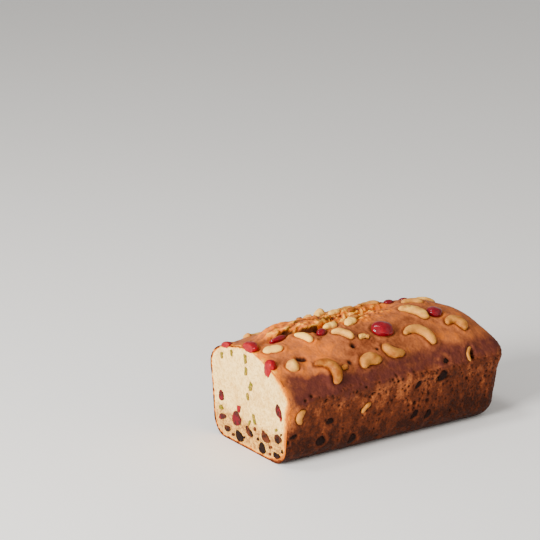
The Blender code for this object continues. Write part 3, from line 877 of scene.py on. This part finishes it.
CUT_BITS = (
    # name, look, slot, and rows of across, up, turn, (length, width, depth)
    ("green_fruit_bits", "candied_green_fruit", "cherry", (
        (33.8, 57.3, 80, (4.8, 2.6, 2.4)), (22.0, 62.0, 95, (4.4, 2.2, 2.0)),
        (5.4, 62.1, 100, (6.4, 2.8, 2.4)), (4.4, 53.7, 85, (6.0, 3.0, 2.4)),
        (-1.1, 44.6, 70, (6.2, 4.2, 2.6)), (2.5, 36.6, 90, (4.4, 2.8, 2.0)),
        (35.0, 19.8, 10, (4.6, 3.2, 2.4)), (-5.2, 22.8, 110, (7.4, 2.8, 2.4)),
        (0.2, 19.2, 60, (4.0, 2.0, 2.2)), (-31.0, 23.2, 20, (2.8, 2.0, 2.0)),
    )),
    ("raisin_crumbs", "dried_raisin", "raisin", (
        (20.0, 4.6, 0, (2.6, 2.0, 2.2)), (-6.4, 16.6, 40, (3.0, 2.2, 2.2)),
        (-24.6, 9.4, 20, (3.4, 2.2, 2.2)), (-9.8, 10.6, 70, (2.4, 1.8, 2.0)),
        (-38.0, 10.6, 90, (3.0, 2.0, 2.0)), (-24.0, 4.4, 0, (2.6, 1.8, 2.0)),
        (-36.8, 21.6, 30, (2.2, 1.6, 1.8)), (6.6, 6.6, 10, (2.4, 1.8, 1.8)),
    )),
    ("cherry_crumbs", "candied_cherry", "cherry", (
        (13.2, 25.0, 80, (5.0, 3.6, 2.6)), (-36.4, 32.6, 90, (3.4, 1.8, 2.0)),
    )),
)
NUT_CHIPS = (
    # along, across, turn, (length, width, height)
    (-15.2, -22.2, 10, (6.4, 3.4, 3.0)), (-12.2, -23.2, -30, (3.4, 2.8, 2.4)),
    (-39, 17, 30, (5.4, 3.2, 2.8)), (-34, 14.5, -20, (6.4, 3.4, 2.8)), (-21.5, 0.5, 40, (5.6, 3.8, 3.2)),
    (-6.4, -0.6, -35, (7.2, 4.6, 3.6)), (0.5, 5.5, 25, (6.6, 4.0, 3.0)), (-12.0, 6.0, 10, (6.0, 3.6, 3.2)),
    (2, 13, 10, (6.6, 3.4, 3.0)), (11, 9, 60, (5.4, 3.6, 3.0)), (12, 18, 60, (4.4, 3.0, 2.6)),
    (-41.8, -38.6, 15, (4.4, 3.2, 2.2)),
)
CHIP_LIFT = 0.6


class OBJECT_OT_cake_cashews(bpy.types.Operator):
    """Make the cashews and nut pieces"""

    bl_idname = "object.cake_cashews"
    bl_label = "Cashews"

    def execute(self, context):
        for number, x, y, heading, size, bend, lift, pitch, toast in TOP_CASHEWS:
            matrix = on_top(x, y, heading, lift) @ Matrix.Rotation(math.radians(pitch), 4, "Y")
            add_cashew(number, matrix, size, bend, toast, lift, BROWN_SPOTS.get(number))
        for number, x, z, heading, size, bend, lift in WALL_CASHEWS:
            add_cashew(number, on_wall(x, z, heading, lift, -1), size, bend, WALL_CASHEW_TOAST, lift)
        return {"FINISHED"}


class OBJECT_OT_cake_cherries(bpy.types.Operator):
    """Make the candied cherries"""

    bl_idname = "object.cake_cherries"
    bl_label = "Cherries"

    def execute(self, context):
        for number, x, y, heading, size, lift, bright in TOP_CHERRIES:
            matrix = on_top(x, y, heading, lift)
            add_fruit("cherry", number, matrix, size, TOP_CHERRY_FOLDS, bright, False, 0.12, 0.85)
        for number, x, y, heading, size, lift, bright in EDGE_CHERRIES:
            matrix = on_top(x, y, heading, lift)
            add_fruit("cherry", number, matrix, size, TOP_CHERRY_FOLDS, bright, True, 0.42, 0.25)
        for number, y, z, turn, size, folds in CUT_CHERRIES:
            add_fruit("cherry", number, on_cut(y, z, turn), size, folds, CUT_CHERRY_TOAST, True, 0.35, 0.0)
        return {"FINISHED"}


class OBJECT_OT_cake_raisins(bpy.types.Operator):
    """Make the raisins"""

    bl_idname = "object.cake_raisins"
    bl_label = "Raisins"

    def execute(self, context):
        for number, y, z, turn, size, folds, toast in CUT_RAISINS:
            add_fruit("raisin", number, on_cut(y, z, turn), size, folds, toast, True, 0.4)
        for number, x, z, turn, size, side in WALL_RAISINS:
            add_fruit("raisin", number, on_wall(x, z, turn, RAISIN_SUNK, side), size, RAISIN_FOLDS)
        return {"FINISHED"}


def add_bits(name, look, slot, places, sliced):
    """Several small bits as one piece; a place is its frame and its size in millimetres."""
    bits = []
    for seed, (matrix, size) in enumerate(places):
        bit = add_ball(12, 10)
        mesh = bit.data
        ball = read_points(mesh)
        blocky = np.sign(ball) * np.abs(ball) ** 0.7
        local = blob_points(blocky, size, 0.12)
        local *= 1 + 0.35 * noise_at(local, 2.0 * MM, 60 + seed)[:, None]
        write_points(mesh, place_points(local, matrix))
        if sliced:
            slice_at(CUT_X + SHIFT.x + FRUIT_RECESS)
        fill_mask(mesh, "toast", 0.3 + 0.25 * (seed % 3))
        fill_mask(mesh, "spot", 0.0)
        fill_mask(mesh, "wet", 0.0)
        bits.append(bit)
    deselect_all()
    for bit in bits:
        bit.select_set(True)
    bpy.context.view_layer.objects.active = bits[0]
    bpy.ops.object.join()
    finish_piece(bits[0], name, material(look), slot)


class OBJECT_OT_cake_bits(bpy.types.Operator):
    """Make the bits of fruit in the crumb and the nut chips on the crust"""

    bl_idname = "object.cake_bits"
    bl_label = "Fruit bits and nut chips"

    def execute(self, context):
        for name, look, slot, rows in CUT_BITS:
            add_bits(name, look, slot, [(on_cut(y, z, turn), size) for y, z, turn, size in rows], True)
        chips = [(on_top(x, y, turn, CHIP_LIFT), size) for x, y, turn, size in NUT_CHIPS]
        add_bits("cashew_chips", "roasted_cashew", "cashew", chips, False)
        return {"FINISHED"}


# ---- The loaf ----

WALL_PITS = 640                 # in each long wall
CRUMB_PORES = 1700
PIT_REACH = 2.2                 # in radii
FRUIT_REACH = 7.0 * MM          # fruit further away than this doesn't shape the crust
FRUIT = ("fine_", "green_fruit_bits", "cashew_chips", "raisin_crumbs", "cherry_crumbs")
# Pits and holes are sunk into the crust and painted dark inside as shade
NAMED_WALL_PITS = (
    # along, up, radius, depth, in millimetres
    (-78.7, 48.8, 1.3, 1.4), (-73.2, 51.6, 1.4, 1.5), (-61.8, 44.7, 1.1, 0.9), (-50.5, 36.3, 1.0, 0.9),
    (-37.1, 44.7, 1.3, 1.4), (-29.7, 47.6, 1.1, 1.2), (-25.5, 37.6, 1.2, 1.3), (-23.6, 39.6, 1.2, 1.3),
    (-4.1, 46.2, 1.2, 1.4), (-6.5, 30.9, 1.2, 1.2), (12.9, 25.1, 1.8, 1.8), (12.4, 21.6, 1.3, 1.3),
    (-15.7, 5.6, 2.4, 1.2), (23.7, 24.7, 1.9, 1.4), (23.7, 29.6, 1.6, 1.2), (36.6, 39.4, 1.6, 1.6),
    (55.4, 34.3, 1.4, 1.2), (44.9, 13.0, 1.8, 1.3), (58.3, 52.2, 1.7, 4.5), (58.6, 54.6, 1.7, 4.5),
)
TOP_HOLES = (
    # along, across, radius, depth
    (-25.4, -26.4, 2.1, 3.2), (-67.8, -23.5, 2.3, 2.6), (-66.3, -24.1, 2.4, 2.8), (-64.8, -24.7, 2.2, 2.2),
    (-36.2, -36.6, 2.0, 0.8), (-10.4, -32.8, 1.3, 1.6),
)
STREAKS = (
    # a route over the crust (along, across), half width, depth and darkness, the painted shade of a fine
    # crack
    (((-61.0, 5.5), (-54.0, 8.5), (-46.0, 10.0), (-35.0, 7.5), (-25.0, 8.3), (-14.0, 10.0)), 1.5, 0.9, 0.5),
    (((-78.0, 12.0), (-70.0, 13.5), (-60.0, 12.5)), 1.0, 0.7, 0.35),
    (((24.0, 17.0), (32.0, 20.0), (38.0, 21.5)), 1.1, 0.7, 0.45),
)
GOLDEN_STREAK = ((-8.0, 48.5), (-15.0, 45.0), (-21.0, 37.0), (-28.0, 29.0))
SEAM = ((4.9, 67.3), (4.6, 55.0), (-1.0, 44.6))
TOP_TONE = 0.49
WALL_TONE = 0.23
TOP_TONES = (
    # how much lighter, then the middle and spread of the spot along and across
    (0.10, -66.0, 20.0, -20.0, 22.0), (0.13, -47.0, 11.0, -22.0, 9.0), (-0.11, -15.0, 18.0, -27.0, 12.0),
)
WALL_TONES = (
    # the same, along and up
    (0.20, 2.0, 16.0, 42.0, 6.0), (0.08, 32.0, 40.0, 38.0, 10.0), (0.08, -48.0, 10.0, 36.0, 7.0),
)


def grid_box():
    """A box the size of the loaf, cut into a fine grid in edit mode."""
    deselect_all()
    size = (FAR_X - CUT_X, LOAF_WIDTH, RIM_HEIGHT)
    middle = ((FAR_X + CUT_X) / 2, 0.0, RIM_HEIGHT / 2)
    bpy.ops.mesh.primitive_cube_add(size=1.0, location=middle, scale=size)
    bpy.ops.object.transform_apply(location=True, rotation=False, scale=True)
    loaf = bpy.context.object
    bpy.ops.object.mode_set(mode="EDIT")
    bpy.ops.mesh.select_mode(type="EDGE")
    for axis, cuts in enumerate((CUTS_ALONG, CUTS_ACROSS, CUTS_UP)):
        bpy.ops.mesh.select_all(action="DESELECT")
        mesh = bmesh.from_edit_mesh(loaf.data)
        for edge in mesh.edges:
            step = edge.verts[1].co - edge.verts[0].co
            if abs(step[axis]) > 0.9 * step.length:
                edge.select_set(True)
        bmesh.update_edit_mesh(loaf.data)
        bpy.ops.mesh.subdivide(number_cuts=cuts)
    bpy.ops.mesh.select_mode(type="FACE")
    for in_view_only in (False, True):
        bpy.ops.mesh.select_all(action="DESELECT")
        mesh = bmesh.from_edit_mesh(loaf.data)
        for face in mesh.faces:
            out = face.normal
            seen = out.x < -0.9 or out.y < -0.9 or out.z > 0.9
            face.select_set(seen or (not in_view_only and out.z > -0.9))
        bmesh.update_edit_mesh(loaf.data)
        bpy.ops.mesh.subdivide(number_cuts=1)
    bpy.ops.object.mode_set(mode="OBJECT")
    return loaf


def nearest_fruit(points, kinds):
    """Distance in millimetres to the nearest piece of these kinds, below zero inside it."""
    found = np.full(len(points), 1.0)
    depsgraph = bpy.context.evaluated_depsgraph_get()
    for piece in bpy.data.objects:
        if not piece.name.startswith(kinds):
            continue
        tree = BVHTree.FromObject(piece, depsgraph)
        around = read_points(piece.data)
        low, high = around.min(axis=0) - FRUIT_REACH, around.max(axis=0) + FRUIT_REACH
        for index in np.flatnonzero(((points > low) & (points < high)).all(axis=1)):
            spot = Vector(points[index])
            place, out, _, away = tree.find_nearest(spot)
            if (spot - place).dot(out) < 0:
                away = -away
            found[index] = min(found[index], away)
    return found / MM


def point_tree(points):
    tree = KDTree(len(points))
    for index, point in enumerate(points):
        tree.insert(point, index)
    tree.balance()
    return tree


def route_distance(first, second, route):
    """Distance from each pair of coordinates to the line through a route's points, in millimetres."""
    places = np.stack([first, second], axis=1)
    found = np.full(len(places), 99.0)
    for start, end in zip(route, route[1:]):
        along = np.subtract(end, start)
        share = np.clip((places - start) @ along / (along @ along), 0.0, 1.0)
        found = np.minimum(found, np.linalg.norm(places - start - share[:, None] * along, axis=1))
    return found


def spots(table, first, second):
    """The sum of a table's soft round spots."""
    return sum(more * bump(first, a, wide) * bump(second, b, high) for more, a, wide, b, high in table)


class Skin:
    """The fine loaf before its relief: where each point lies, in millimetres, and on what."""

    def __init__(self, box, points, normals):
        self.points, self.normals = points, normals
        x, y, z = (points - np.array(SHIFT)).T
        self.along, self.across, self.height = x / MM, y / MM, z / MM
        self.from_cut = (x - CUT_X) / MM
        self.cut = box[:, 0] < CUT_X + TOUCH
        self.base = box[:, 2] < TOUCH
        top = box[:, 2] > RIM_HEIGHT - TOUCH
        self.rim = self.cut & ((np.abs(box[:, 1]) > HALF_WIDTH - TOUCH) | self.base | top)
        self.crumb = self.cut & ~self.rim
        self.top = top * 1.0
        self.flat = ease(0.35, 0.75, normals[:, 2])
        self.side = (1 - self.flat) * ~self.crumb
        self.behind = (y - crack_across(x)) / MM
        self.crack = crack_strength(x)
        self.in_crack = self.crack * bump(self.behind, 1.0, 4.5) * self.top
        self.ridge = self.crack * between(self.behind, 1.0, 4.0, 12.0, 20.0) * self.top
        self.patch = bump(self.along, -4.0, 26.0) * bump(self.across, 4.0, 10.0) * self.flat
        self.away = nearest_fruit(points, FRUIT)
        self.broad = noise_at(points, 14 * MM, 1, 2)
        self.middle = noise_at(points, 6 * MM, 2, 3)
        self.fine = noise_at(points, 2.2 * MM, 3, 3)
        self.torn = noise_at(points, 3.4 * MM, 4, 4)
        self.layers = noise_at(points * (0.28, 1.0, 1.0), 2.4 * MM, 6, 4)
        self.tree = point_tree(points)


def pits(skin, places, radii, depths):
    """How deep a scatter of round pits is at each point, and how far inside one it lies, 0 to 1."""
    depth, inside = np.zeros((2, len(skin.points)))
    for place, radius, deep in zip(places, radii, depths):
        for _, index, away in skin.tree.find_range(place, PIT_REACH * radius):
            share = math.exp(-((away / radius) ** 2))
            depth[index] = max(depth[index], deep * share)
            inside[index] = max(inside[index], share)
    return depth, inside


def box_places(along, across, up):
    """Places on the plain box as points of the loaf in the solid model's frame."""
    return loaf_surface(np.stack(np.broadcast_arrays(along, across, up), axis=1)) + np.array(SHIFT)


def crust_pits(relief, generator):
    """Scatters of pits: places, radii and depths in metres, and how dark they are painted, as shade inside
    them.
    """
    for wall in (-1, 1):
        along = CUT_X + 6 * MM + (FAR_X - CUT_X - 8 * MM) * generator.random(WALL_PITS) ** 0.5
        up = (4 + 48 * generator.random(WALL_PITS) ** 0.9) * MM
        radius = (0.45 + 1.1 * generator.random(WALL_PITS) ** 3) * MM
        depth = relief.wall_pits * (generator.random(WALL_PITS) * 0.7 + 0.3)
        yield box_places(along, wall * HALF_WIDTH, up), radius, depth, 0.8
    along, up, radius, depth = np.array(NAMED_WALL_PITS).T * MM
    yield box_places(along, -HALF_WIDTH, up), radius, depth, 1.0
    places = np.array([on_top(x, y, 0, 0).translation + SHIFT for x, y, _, _ in TOP_HOLES])
    radius, depth = np.array(TOP_HOLES).T[2:] * MM
    yield places, radius, depth, 0.95


def crust_hollows(skin, relief, generator):
    """Depth of the crust's pits, holes and streaks, and how dark each point is painted in them as shade, 0
    to 1.
    """
    sunk, dark = np.zeros((2, len(skin.points)))
    for places, radii, depths, darkness in crust_pits(relief, generator):
        depth, inside = pits(skin, places, radii, depths)
        sunk += depth
        dark = np.maximum(dark, darkness * inside)
    for route, width, deep, darkness in STREAKS:
        away = route_distance(skin.along, skin.across, route) + 0.5 * skin.middle
        inside = bump(away, 0.0, width) * skin.top * (0.75 + 0.8 * skin.fine)
        sunk += deep * MM * inside
        dark = np.maximum(dark, darkness * ease(0.15, 0.7, inside))
    # Painted shade in the deepest part of the crack, in two lengths
    shadow = skin.crack * bump(skin.behind, 1.0, 2.7) * between(skin.along, -66.0, -57.0, -39.0, -33.0)
    shadow *= (1 - 0.7 * bump(skin.along, -51.5, 3.0)) * (1 + 0.5 * skin.fine)
    return sunk, np.maximum(dark, 0.65 * ease(0.1, 0.45, shadow) * skin.top)


def crust_relief(skin, relief):
    """How far the crust rises: soft dimples, grain, swellings round the fruit and torn crumb."""
    lift = relief.dimples * skin.flat * (0.6 * skin.broad + 0.5 * skin.middle + 0.12 * skin.fine)
    lift += relief.wall_grain * skin.side * (0.6 * skin.middle + 1.0 * skin.fine)
    lift += relief.swelling * bump(skin.away, 2.4, 1.5) * np.where(skin.side > 0.5, 0.4, 1.0)
    lift -= relief.groove * np.where(skin.away < 0, 1.0, bump(skin.away, 0.0, 0.9))
    lift += relief.torn * (skin.in_crack * 0.7 * skin.torn + skin.ridge * 0.6 * skin.layers)
    crumbly = np.abs(noise_at(skin.points, 3.0 * MM, 5, 3))
    return lift + relief.torn * skin.patch * (1.1 * skin.torn + 1.6 * crumbly - 0.4)


def crumb_depth(skin, relief, pore, seam):
    """How far the crumb lies behind the knife's plane: torn, porous and dipped round each fruit."""
    torn = 0.12 * MM * (skin.fine + skin.middle)
    dip = 0.35 * MM * bump(skin.away, 0.2, 0.5)
    sunk = CRUMB_RECESS + torn + relief.pores * np.maximum(pore, 0.7 * seam) + dip
    return np.maximum(sunk, LEAST_CRUMB_RECESS)


def shaped_points(skin, relief, crust_lift, crumb_sunk):
    """The loaf's points with their relief, the ridge leaning over the crack."""
    points, normals, cut, rim, crumb = skin.points, skin.normals, skin.cut, skin.rim, skin.crumb
    lift = np.where(rim, -RIM_SHRINK * (1 + skin.fine), crust_lift) * ~skin.base
    moved = points + normals * lift[:, None]
    moved[cut, 0] = points[cut, 0]
    moved[crumb] = points[crumb]
    moved[crumb, 0] += crumb_sunk[crumb]
    leans = relief.overhang * skin.crack * between(skin.along, -84.0, -66.0, -36.0, -26.0) * skin.top
    lip = bump(skin.behind, 6.0, 2.8) * (1.0 + 0.8 * skin.middle)
    under = bump(skin.behind, 1.2, 2.2)
    moved[:, 1] += leans * (0.55 * under - lip)
    moved[:, 2] += leans * (0.25 * lip - 0.6 * under)
    return np.clip(moved, np.array(CAKE_LOW), np.array(CAKE_HIGH))


def crust_tone(skin):
    """Tone of the crust, 0 burnt to 1 golden crumb."""
    along, across, height = skin.along, skin.across, skin.height
    broad, middle, fine = skin.broad, skin.middle, skin.fine
    top = TOP_TONE + 0.07 * broad + 0.06 * middle + spots(TOP_TONES, along, across)
    top += 0.04 * ease(20.0, 60.0, along)
    top += 0.42 * skin.ridge * skin.layers + 0.13 * skin.in_crack + skin.patch * (0.32 + 0.8 * skin.torn)
    top += 0.14 * skin.crack * bump(skin.behind, 8.0, 11.0)
    top += 0.05 * skin.crack * bump(skin.behind, 7.0, 4.5) * (1 - ease(-34.0, -22.0, along))
    top += (0.34 - 0.18 * ease(26.0, 40.0, -across)) * bump(skin.from_cut, 0.0, 4.5)
    wall = WALL_TONE + 0.07 * broad + 0.06 * middle + spots(WALL_TONES, along, height)
    wall += 0.02 * ease(-40.0, -10.0, along) + 0.14 * ease(80.0, 92.0, along)
    wall += 0.16 * bump(route_distance(along, height, GOLDEN_STREAK), 0.0, 4.0)
    # Painted shade darkens the wall towards the base, near the floor
    wall -= 0.28 * (1 - ease(0.0, 30.0, height))
    wall -= 0.12 * ease(10.0, 60.0, along) * (1 - ease(20.0, 56.0, height))
    # Painted contact shadow low on the far half of the wall
    wall -= 0.25 * ease(0.0, 30.0, along) * (1 - ease(6.0, 24.0, height))
    edge = bump(skin.from_cut + 0.8 * middle, 0.0, 4.8 + 2.0 * bump(height, 38.0, 10.0))
    edge *= np.where(across > 0, 0.3, 1.0)
    wall += (0.02 + 0.42 * ease(20.0, 34.0, height) + 0.15 * fine) * edge
    outer = np.maximum(skin.flat, skin.top * ease(-20.0, -10.0, across))
    return outer * top + (1 - outer) * wall


def shoulder_band_and_sheen(skin):
    """How dull each point is made by the band below the shoulder: partly a duller crust, partly painted
    sheen of the sky light.
    """
    height = skin.height + 2.5 * skin.middle + 2.0 * skin.broad
    height -= 4.0 * ease(-50.0, 10.0, skin.along) + 2.5 * (1 - ease(-60.0, -42.0, skin.along))
    band = between(height, 40.0, 47.0, 52.0, 59.0) * (0.76 + 0.5 * skin.middle + 0.15 * skin.fine)
    band *= (1 - bump(skin.from_cut, 0.0, 6.0)) * (np.abs(skin.across) > 20)
    return band * (1.2 + 0.75 * (1 - ease(-60.0, -30.0, skin.along)))


def crumb_pores(skin, generator):
    """How deep each point lies in a pore of the cut crumb, 0 to 1; this also paints shade into the pore."""
    across = (generator.random(CRUMB_PORES) * 2 - 1) * (HALF_WIDTH - 2 * MM)
    up = 2 * MM + (RIM_HEIGHT - 3 * MM) * generator.random(CRUMB_PORES)
    radius = (0.30 + 0.85 * generator.random(CRUMB_PORES) ** 3) * MM
    return pits(skin, box_places(CUT_X, across, up), radius, np.ones(CRUMB_PORES))[1]


def rim_closeness(skin):
    """Above 1 on the outline of the cut face, falling to 0 a few millimetres inside it, in dashes."""
    tree = point_tree(skin.points[skin.rim])
    closeness = np.zeros(len(skin.points))
    reach = (2.2 + 4.2 * ease(20.0, 36.0, -skin.points[:, 1] / MM)) * MM
    for index in np.flatnonzero(skin.cut):
        closeness[index] = 1 - min(tree.find(skin.points[index])[2] / reach[index], 1.0)
    closeness *= 1 + 0.6 * ((skin.points[:, 1] > 0) | (skin.points[:, 2] < 4 * MM))
    dashes = noise_at(skin.points, 2.6 * MM, 7, 2) * ease(0.0, 20.0, skin.across)
    return closeness * (1 + 0.25 * skin.middle + 1.3 * dashes)


class OBJECT_OT_cake_loaf(bpy.types.Operator):
    """Make the loaf itself: crust, crack and cut crumb"""

    bl_idname = "object.cake_loaf"
    bl_label = "Loaf"

    def execute(self, context):
        relief = context.scene.cake_relief
        loaf = grid_box()
        mesh = loaf.data
        box = read_points(mesh)
        points = loaf_surface(box) + np.array(SHIFT)
        write_points(mesh, points)
        skin = Skin(box, points, read_normals(mesh))
        generator = np.random.default_rng(11)
        sunk, dark = crust_hollows(skin, relief, generator)
        pore = crumb_pores(skin, generator)
        # The seam is sunk like a pore and painted with shade through the pore mask
        seam = bump(route_distance(skin.across, skin.height, SEAM), 0.0, 0.5)
        crust_lift = crust_relief(skin, relief) - sunk
        write_points(mesh, shaped_points(skin, relief, crust_lift, crumb_depth(skin, relief, pore, seam)))

        # Crust is stained next to raisins, and darker with painted shade in the crease where it meets a nut
        # or fruit
        stain = 0.75 * bump(np.maximum(nearest_fruit(points, "fine_raisin"), 0.0), 0.0, 1.2) * skin.side
        meets = 0.16 * bump(np.maximum(skin.away, 0.0), 0.0, 0.5) * skin.flat
        low = 1 - ease(10.0, 26.0, skin.height) + 0.30 * bump(skin.height, 34.0, 26.0)
        # The dark mask paints shade in pits, holes, cracks and creases, and holds the stains by raisins
        masks = {
            "tone": crust_tone(skin), "shoulder": shoulder_band_and_sheen(skin), "low": low,
            "dark": np.maximum(dark, np.maximum(stain, meets)), "pore": np.maximum(pore, seam),
        }
        for name, values in masks.items():
            write_mask(mesh, name, np.clip(values, 0.0, 1.0))
        write_mask(mesh, "side", skin.side)
        write_mask(mesh, "rim", rim_closeness(skin))
        finish_piece(loaf, "fine_cake", material("baked_crust"), "crust", "cake")
        mesh.materials.append(material("cut_crumb"))
        on_knife = np.zeros(len(mesh.polygons), dtype=np.int32)
        for polygon in mesh.polygons:
            on_knife[polygon.index] = all(skin.cut[index] for index in polygon.vertices)
        mesh.polygons.foreach_set("material_index", on_knife)
        return {"FINISHED"}


# ---- Stage, lights and camera ----

LIT_POINT = (0.0, 0.0, 0.04)
LIGHTS = (
    # name, place, size, tint
    ("key_light", (-1.56, -0.30, 0.56), 0.8, (1.0, 0.97, 0.93)),
    ("top_light", (-0.45, 0.25, 1.35), 0.35, (1.0, 0.98, 0.96)),
    ("fill_light", (0.9, -1.4, 0.9), 1.6, (1.0, 0.95, 0.90)),
)
FLOOR_SIZE = 12.0
CAMERA_HEADING = 34.4           # degrees from +Y towards +X
CAMERA_PITCH = 16.095           # degrees down
CAMERA_ROLL = 0.19
CAMERA_PLACE = (-0.85348, -1.13683, 0.51977)
CAMERA_LENS = 145.67            # millimetres, on a sensor as wide as this
CAMERA_SENSOR = 36.0


def add_light(name, place, size, tint, power):
    deselect_all()
    bpy.ops.object.light_add(type="AREA", location=place)
    light = bpy.context.object
    light.name = name
    light.data.size = size
    light.data.energy = power
    light.data.color = tint
    light.rotation_euler = (Vector(LIT_POINT) - Vector(place)).to_track_quat("-Z", "Y").to_euler()


def camera_matrix():
    """The camera's frame from its heading, pitch, roll and place."""
    heading, pitch, roll = (math.radians(angle) for angle in (CAMERA_HEADING, CAMERA_PITCH, CAMERA_ROLL))
    level = Vector((math.cos(heading), -math.sin(heading), 0.0))
    flat = math.cos(pitch)
    ahead = Vector((flat * math.sin(heading), flat * math.cos(heading), -math.sin(pitch)))
    above = level.cross(ahead)
    right = level * math.cos(roll) + above * math.sin(roll)
    up = above * math.cos(roll) - level * math.sin(roll)
    matrix = Matrix((right, up, -ahead)).transposed().to_4x4()
    matrix.translation = Vector(CAMERA_PLACE) + SHIFT
    return matrix


class OBJECT_OT_cake_stage(bpy.types.Operator):
    """Make the floor, the lights and the camera"""

    bl_idname = "object.cake_stage"
    bl_label = "Floor, lights and camera"

    def execute(self, context):
        looks = context.scene.cake_stage
        deselect_all()
        bpy.ops.mesh.primitive_plane_add(size=FLOOR_SIZE, location=(0, 0, 0))
        floor = context.object
        floor.name = "floor"
        made, _, shader = new_material("pale_floor", 0.7, 0.3)
        shader.inputs["Base Color"].default_value = rgba(looks.floor)
        floor.data.materials.append(made)
        floor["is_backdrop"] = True

        world = bpy.data.worlds.new("soft_room")
        world.use_nodes = True
        background = world.node_tree.nodes["Background"]
        background.inputs["Color"].default_value = (1.0, 0.98, 0.95, 1.0)
        background.inputs["Strength"].default_value = looks.sky
        context.scene.world = world
        for light in LIGHTS:
            add_light(*light, getattr(looks, light[0]))

        bpy.ops.object.camera_add()
        camera = context.object
        camera.matrix_world = camera_matrix()
        camera.data.lens = CAMERA_LENS
        camera.data.sensor_width = CAMERA_SENSOR
        camera.data.clip_start = 0.05
        camera.data.clip_end = 50.0
        context.scene.camera = camera
        return {"FINISHED"}


class VIEW3D_PT_fruit_cake(bpy.types.Panel):
    """Sidebar panel of the fruit cake"""

    bl_label = "Fruit Cake"
    bl_space_type = "VIEW_3D"
    bl_region_type = "UI"
    bl_category = "Fruit Cake"

    def draw(self, context):
        for group in (context.scene.cake_relief, context.scene.cake_colours, context.scene.cake_stage):
            box = self.layout.box()
            for name in group.__annotations__:
                box.prop(group, name)
        for operator in OPERATORS:
            self.layout.operator(operator.bl_idname)


OPERATORS = (
    OBJECT_OT_cake_cashews, OBJECT_OT_cake_cherries, OBJECT_OT_cake_raisins, OBJECT_OT_cake_bits,
    OBJECT_OT_cake_loaf, OBJECT_OT_cake_stage,
)
CLASSES = (CakeRelief, CakeColours, CakeStage, *OPERATORS, VIEW3D_PT_fruit_cake)


def register():
    for item in CLASSES:
        bpy.utils.register_class(item)
    bpy.types.Scene.cake_relief = PointerProperty(type=CakeRelief)
    bpy.types.Scene.cake_colours = PointerProperty(type=CakeColours)
    bpy.types.Scene.cake_stage = PointerProperty(type=CakeStage)


def unregister():
    del bpy.types.Scene.cake_stage
    del bpy.types.Scene.cake_colours
    del bpy.types.Scene.cake_relief
    for item in reversed(CLASSES):
        bpy.utils.unregister_class(item)


def write_sizes():
    """Gather the boxes of the solid model and of the dressed model."""
    boxes = {"cad": CAD_BOX, "visual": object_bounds()}
    plain = {name: [[float(value) for value in corner] for corner in box] for name, box in boxes.items()}


def main():
    register()
    bpy.ops.object.cake_cashews()
    bpy.ops.object.cake_cherries()
    bpy.ops.object.cake_raisins()
    bpy.ops.object.cake_bits()
    bpy.ops.object.cake_loaf()
    bpy.ops.object.cake_stage()
    write_sizes()


if __name__ == "__main__":
    main()
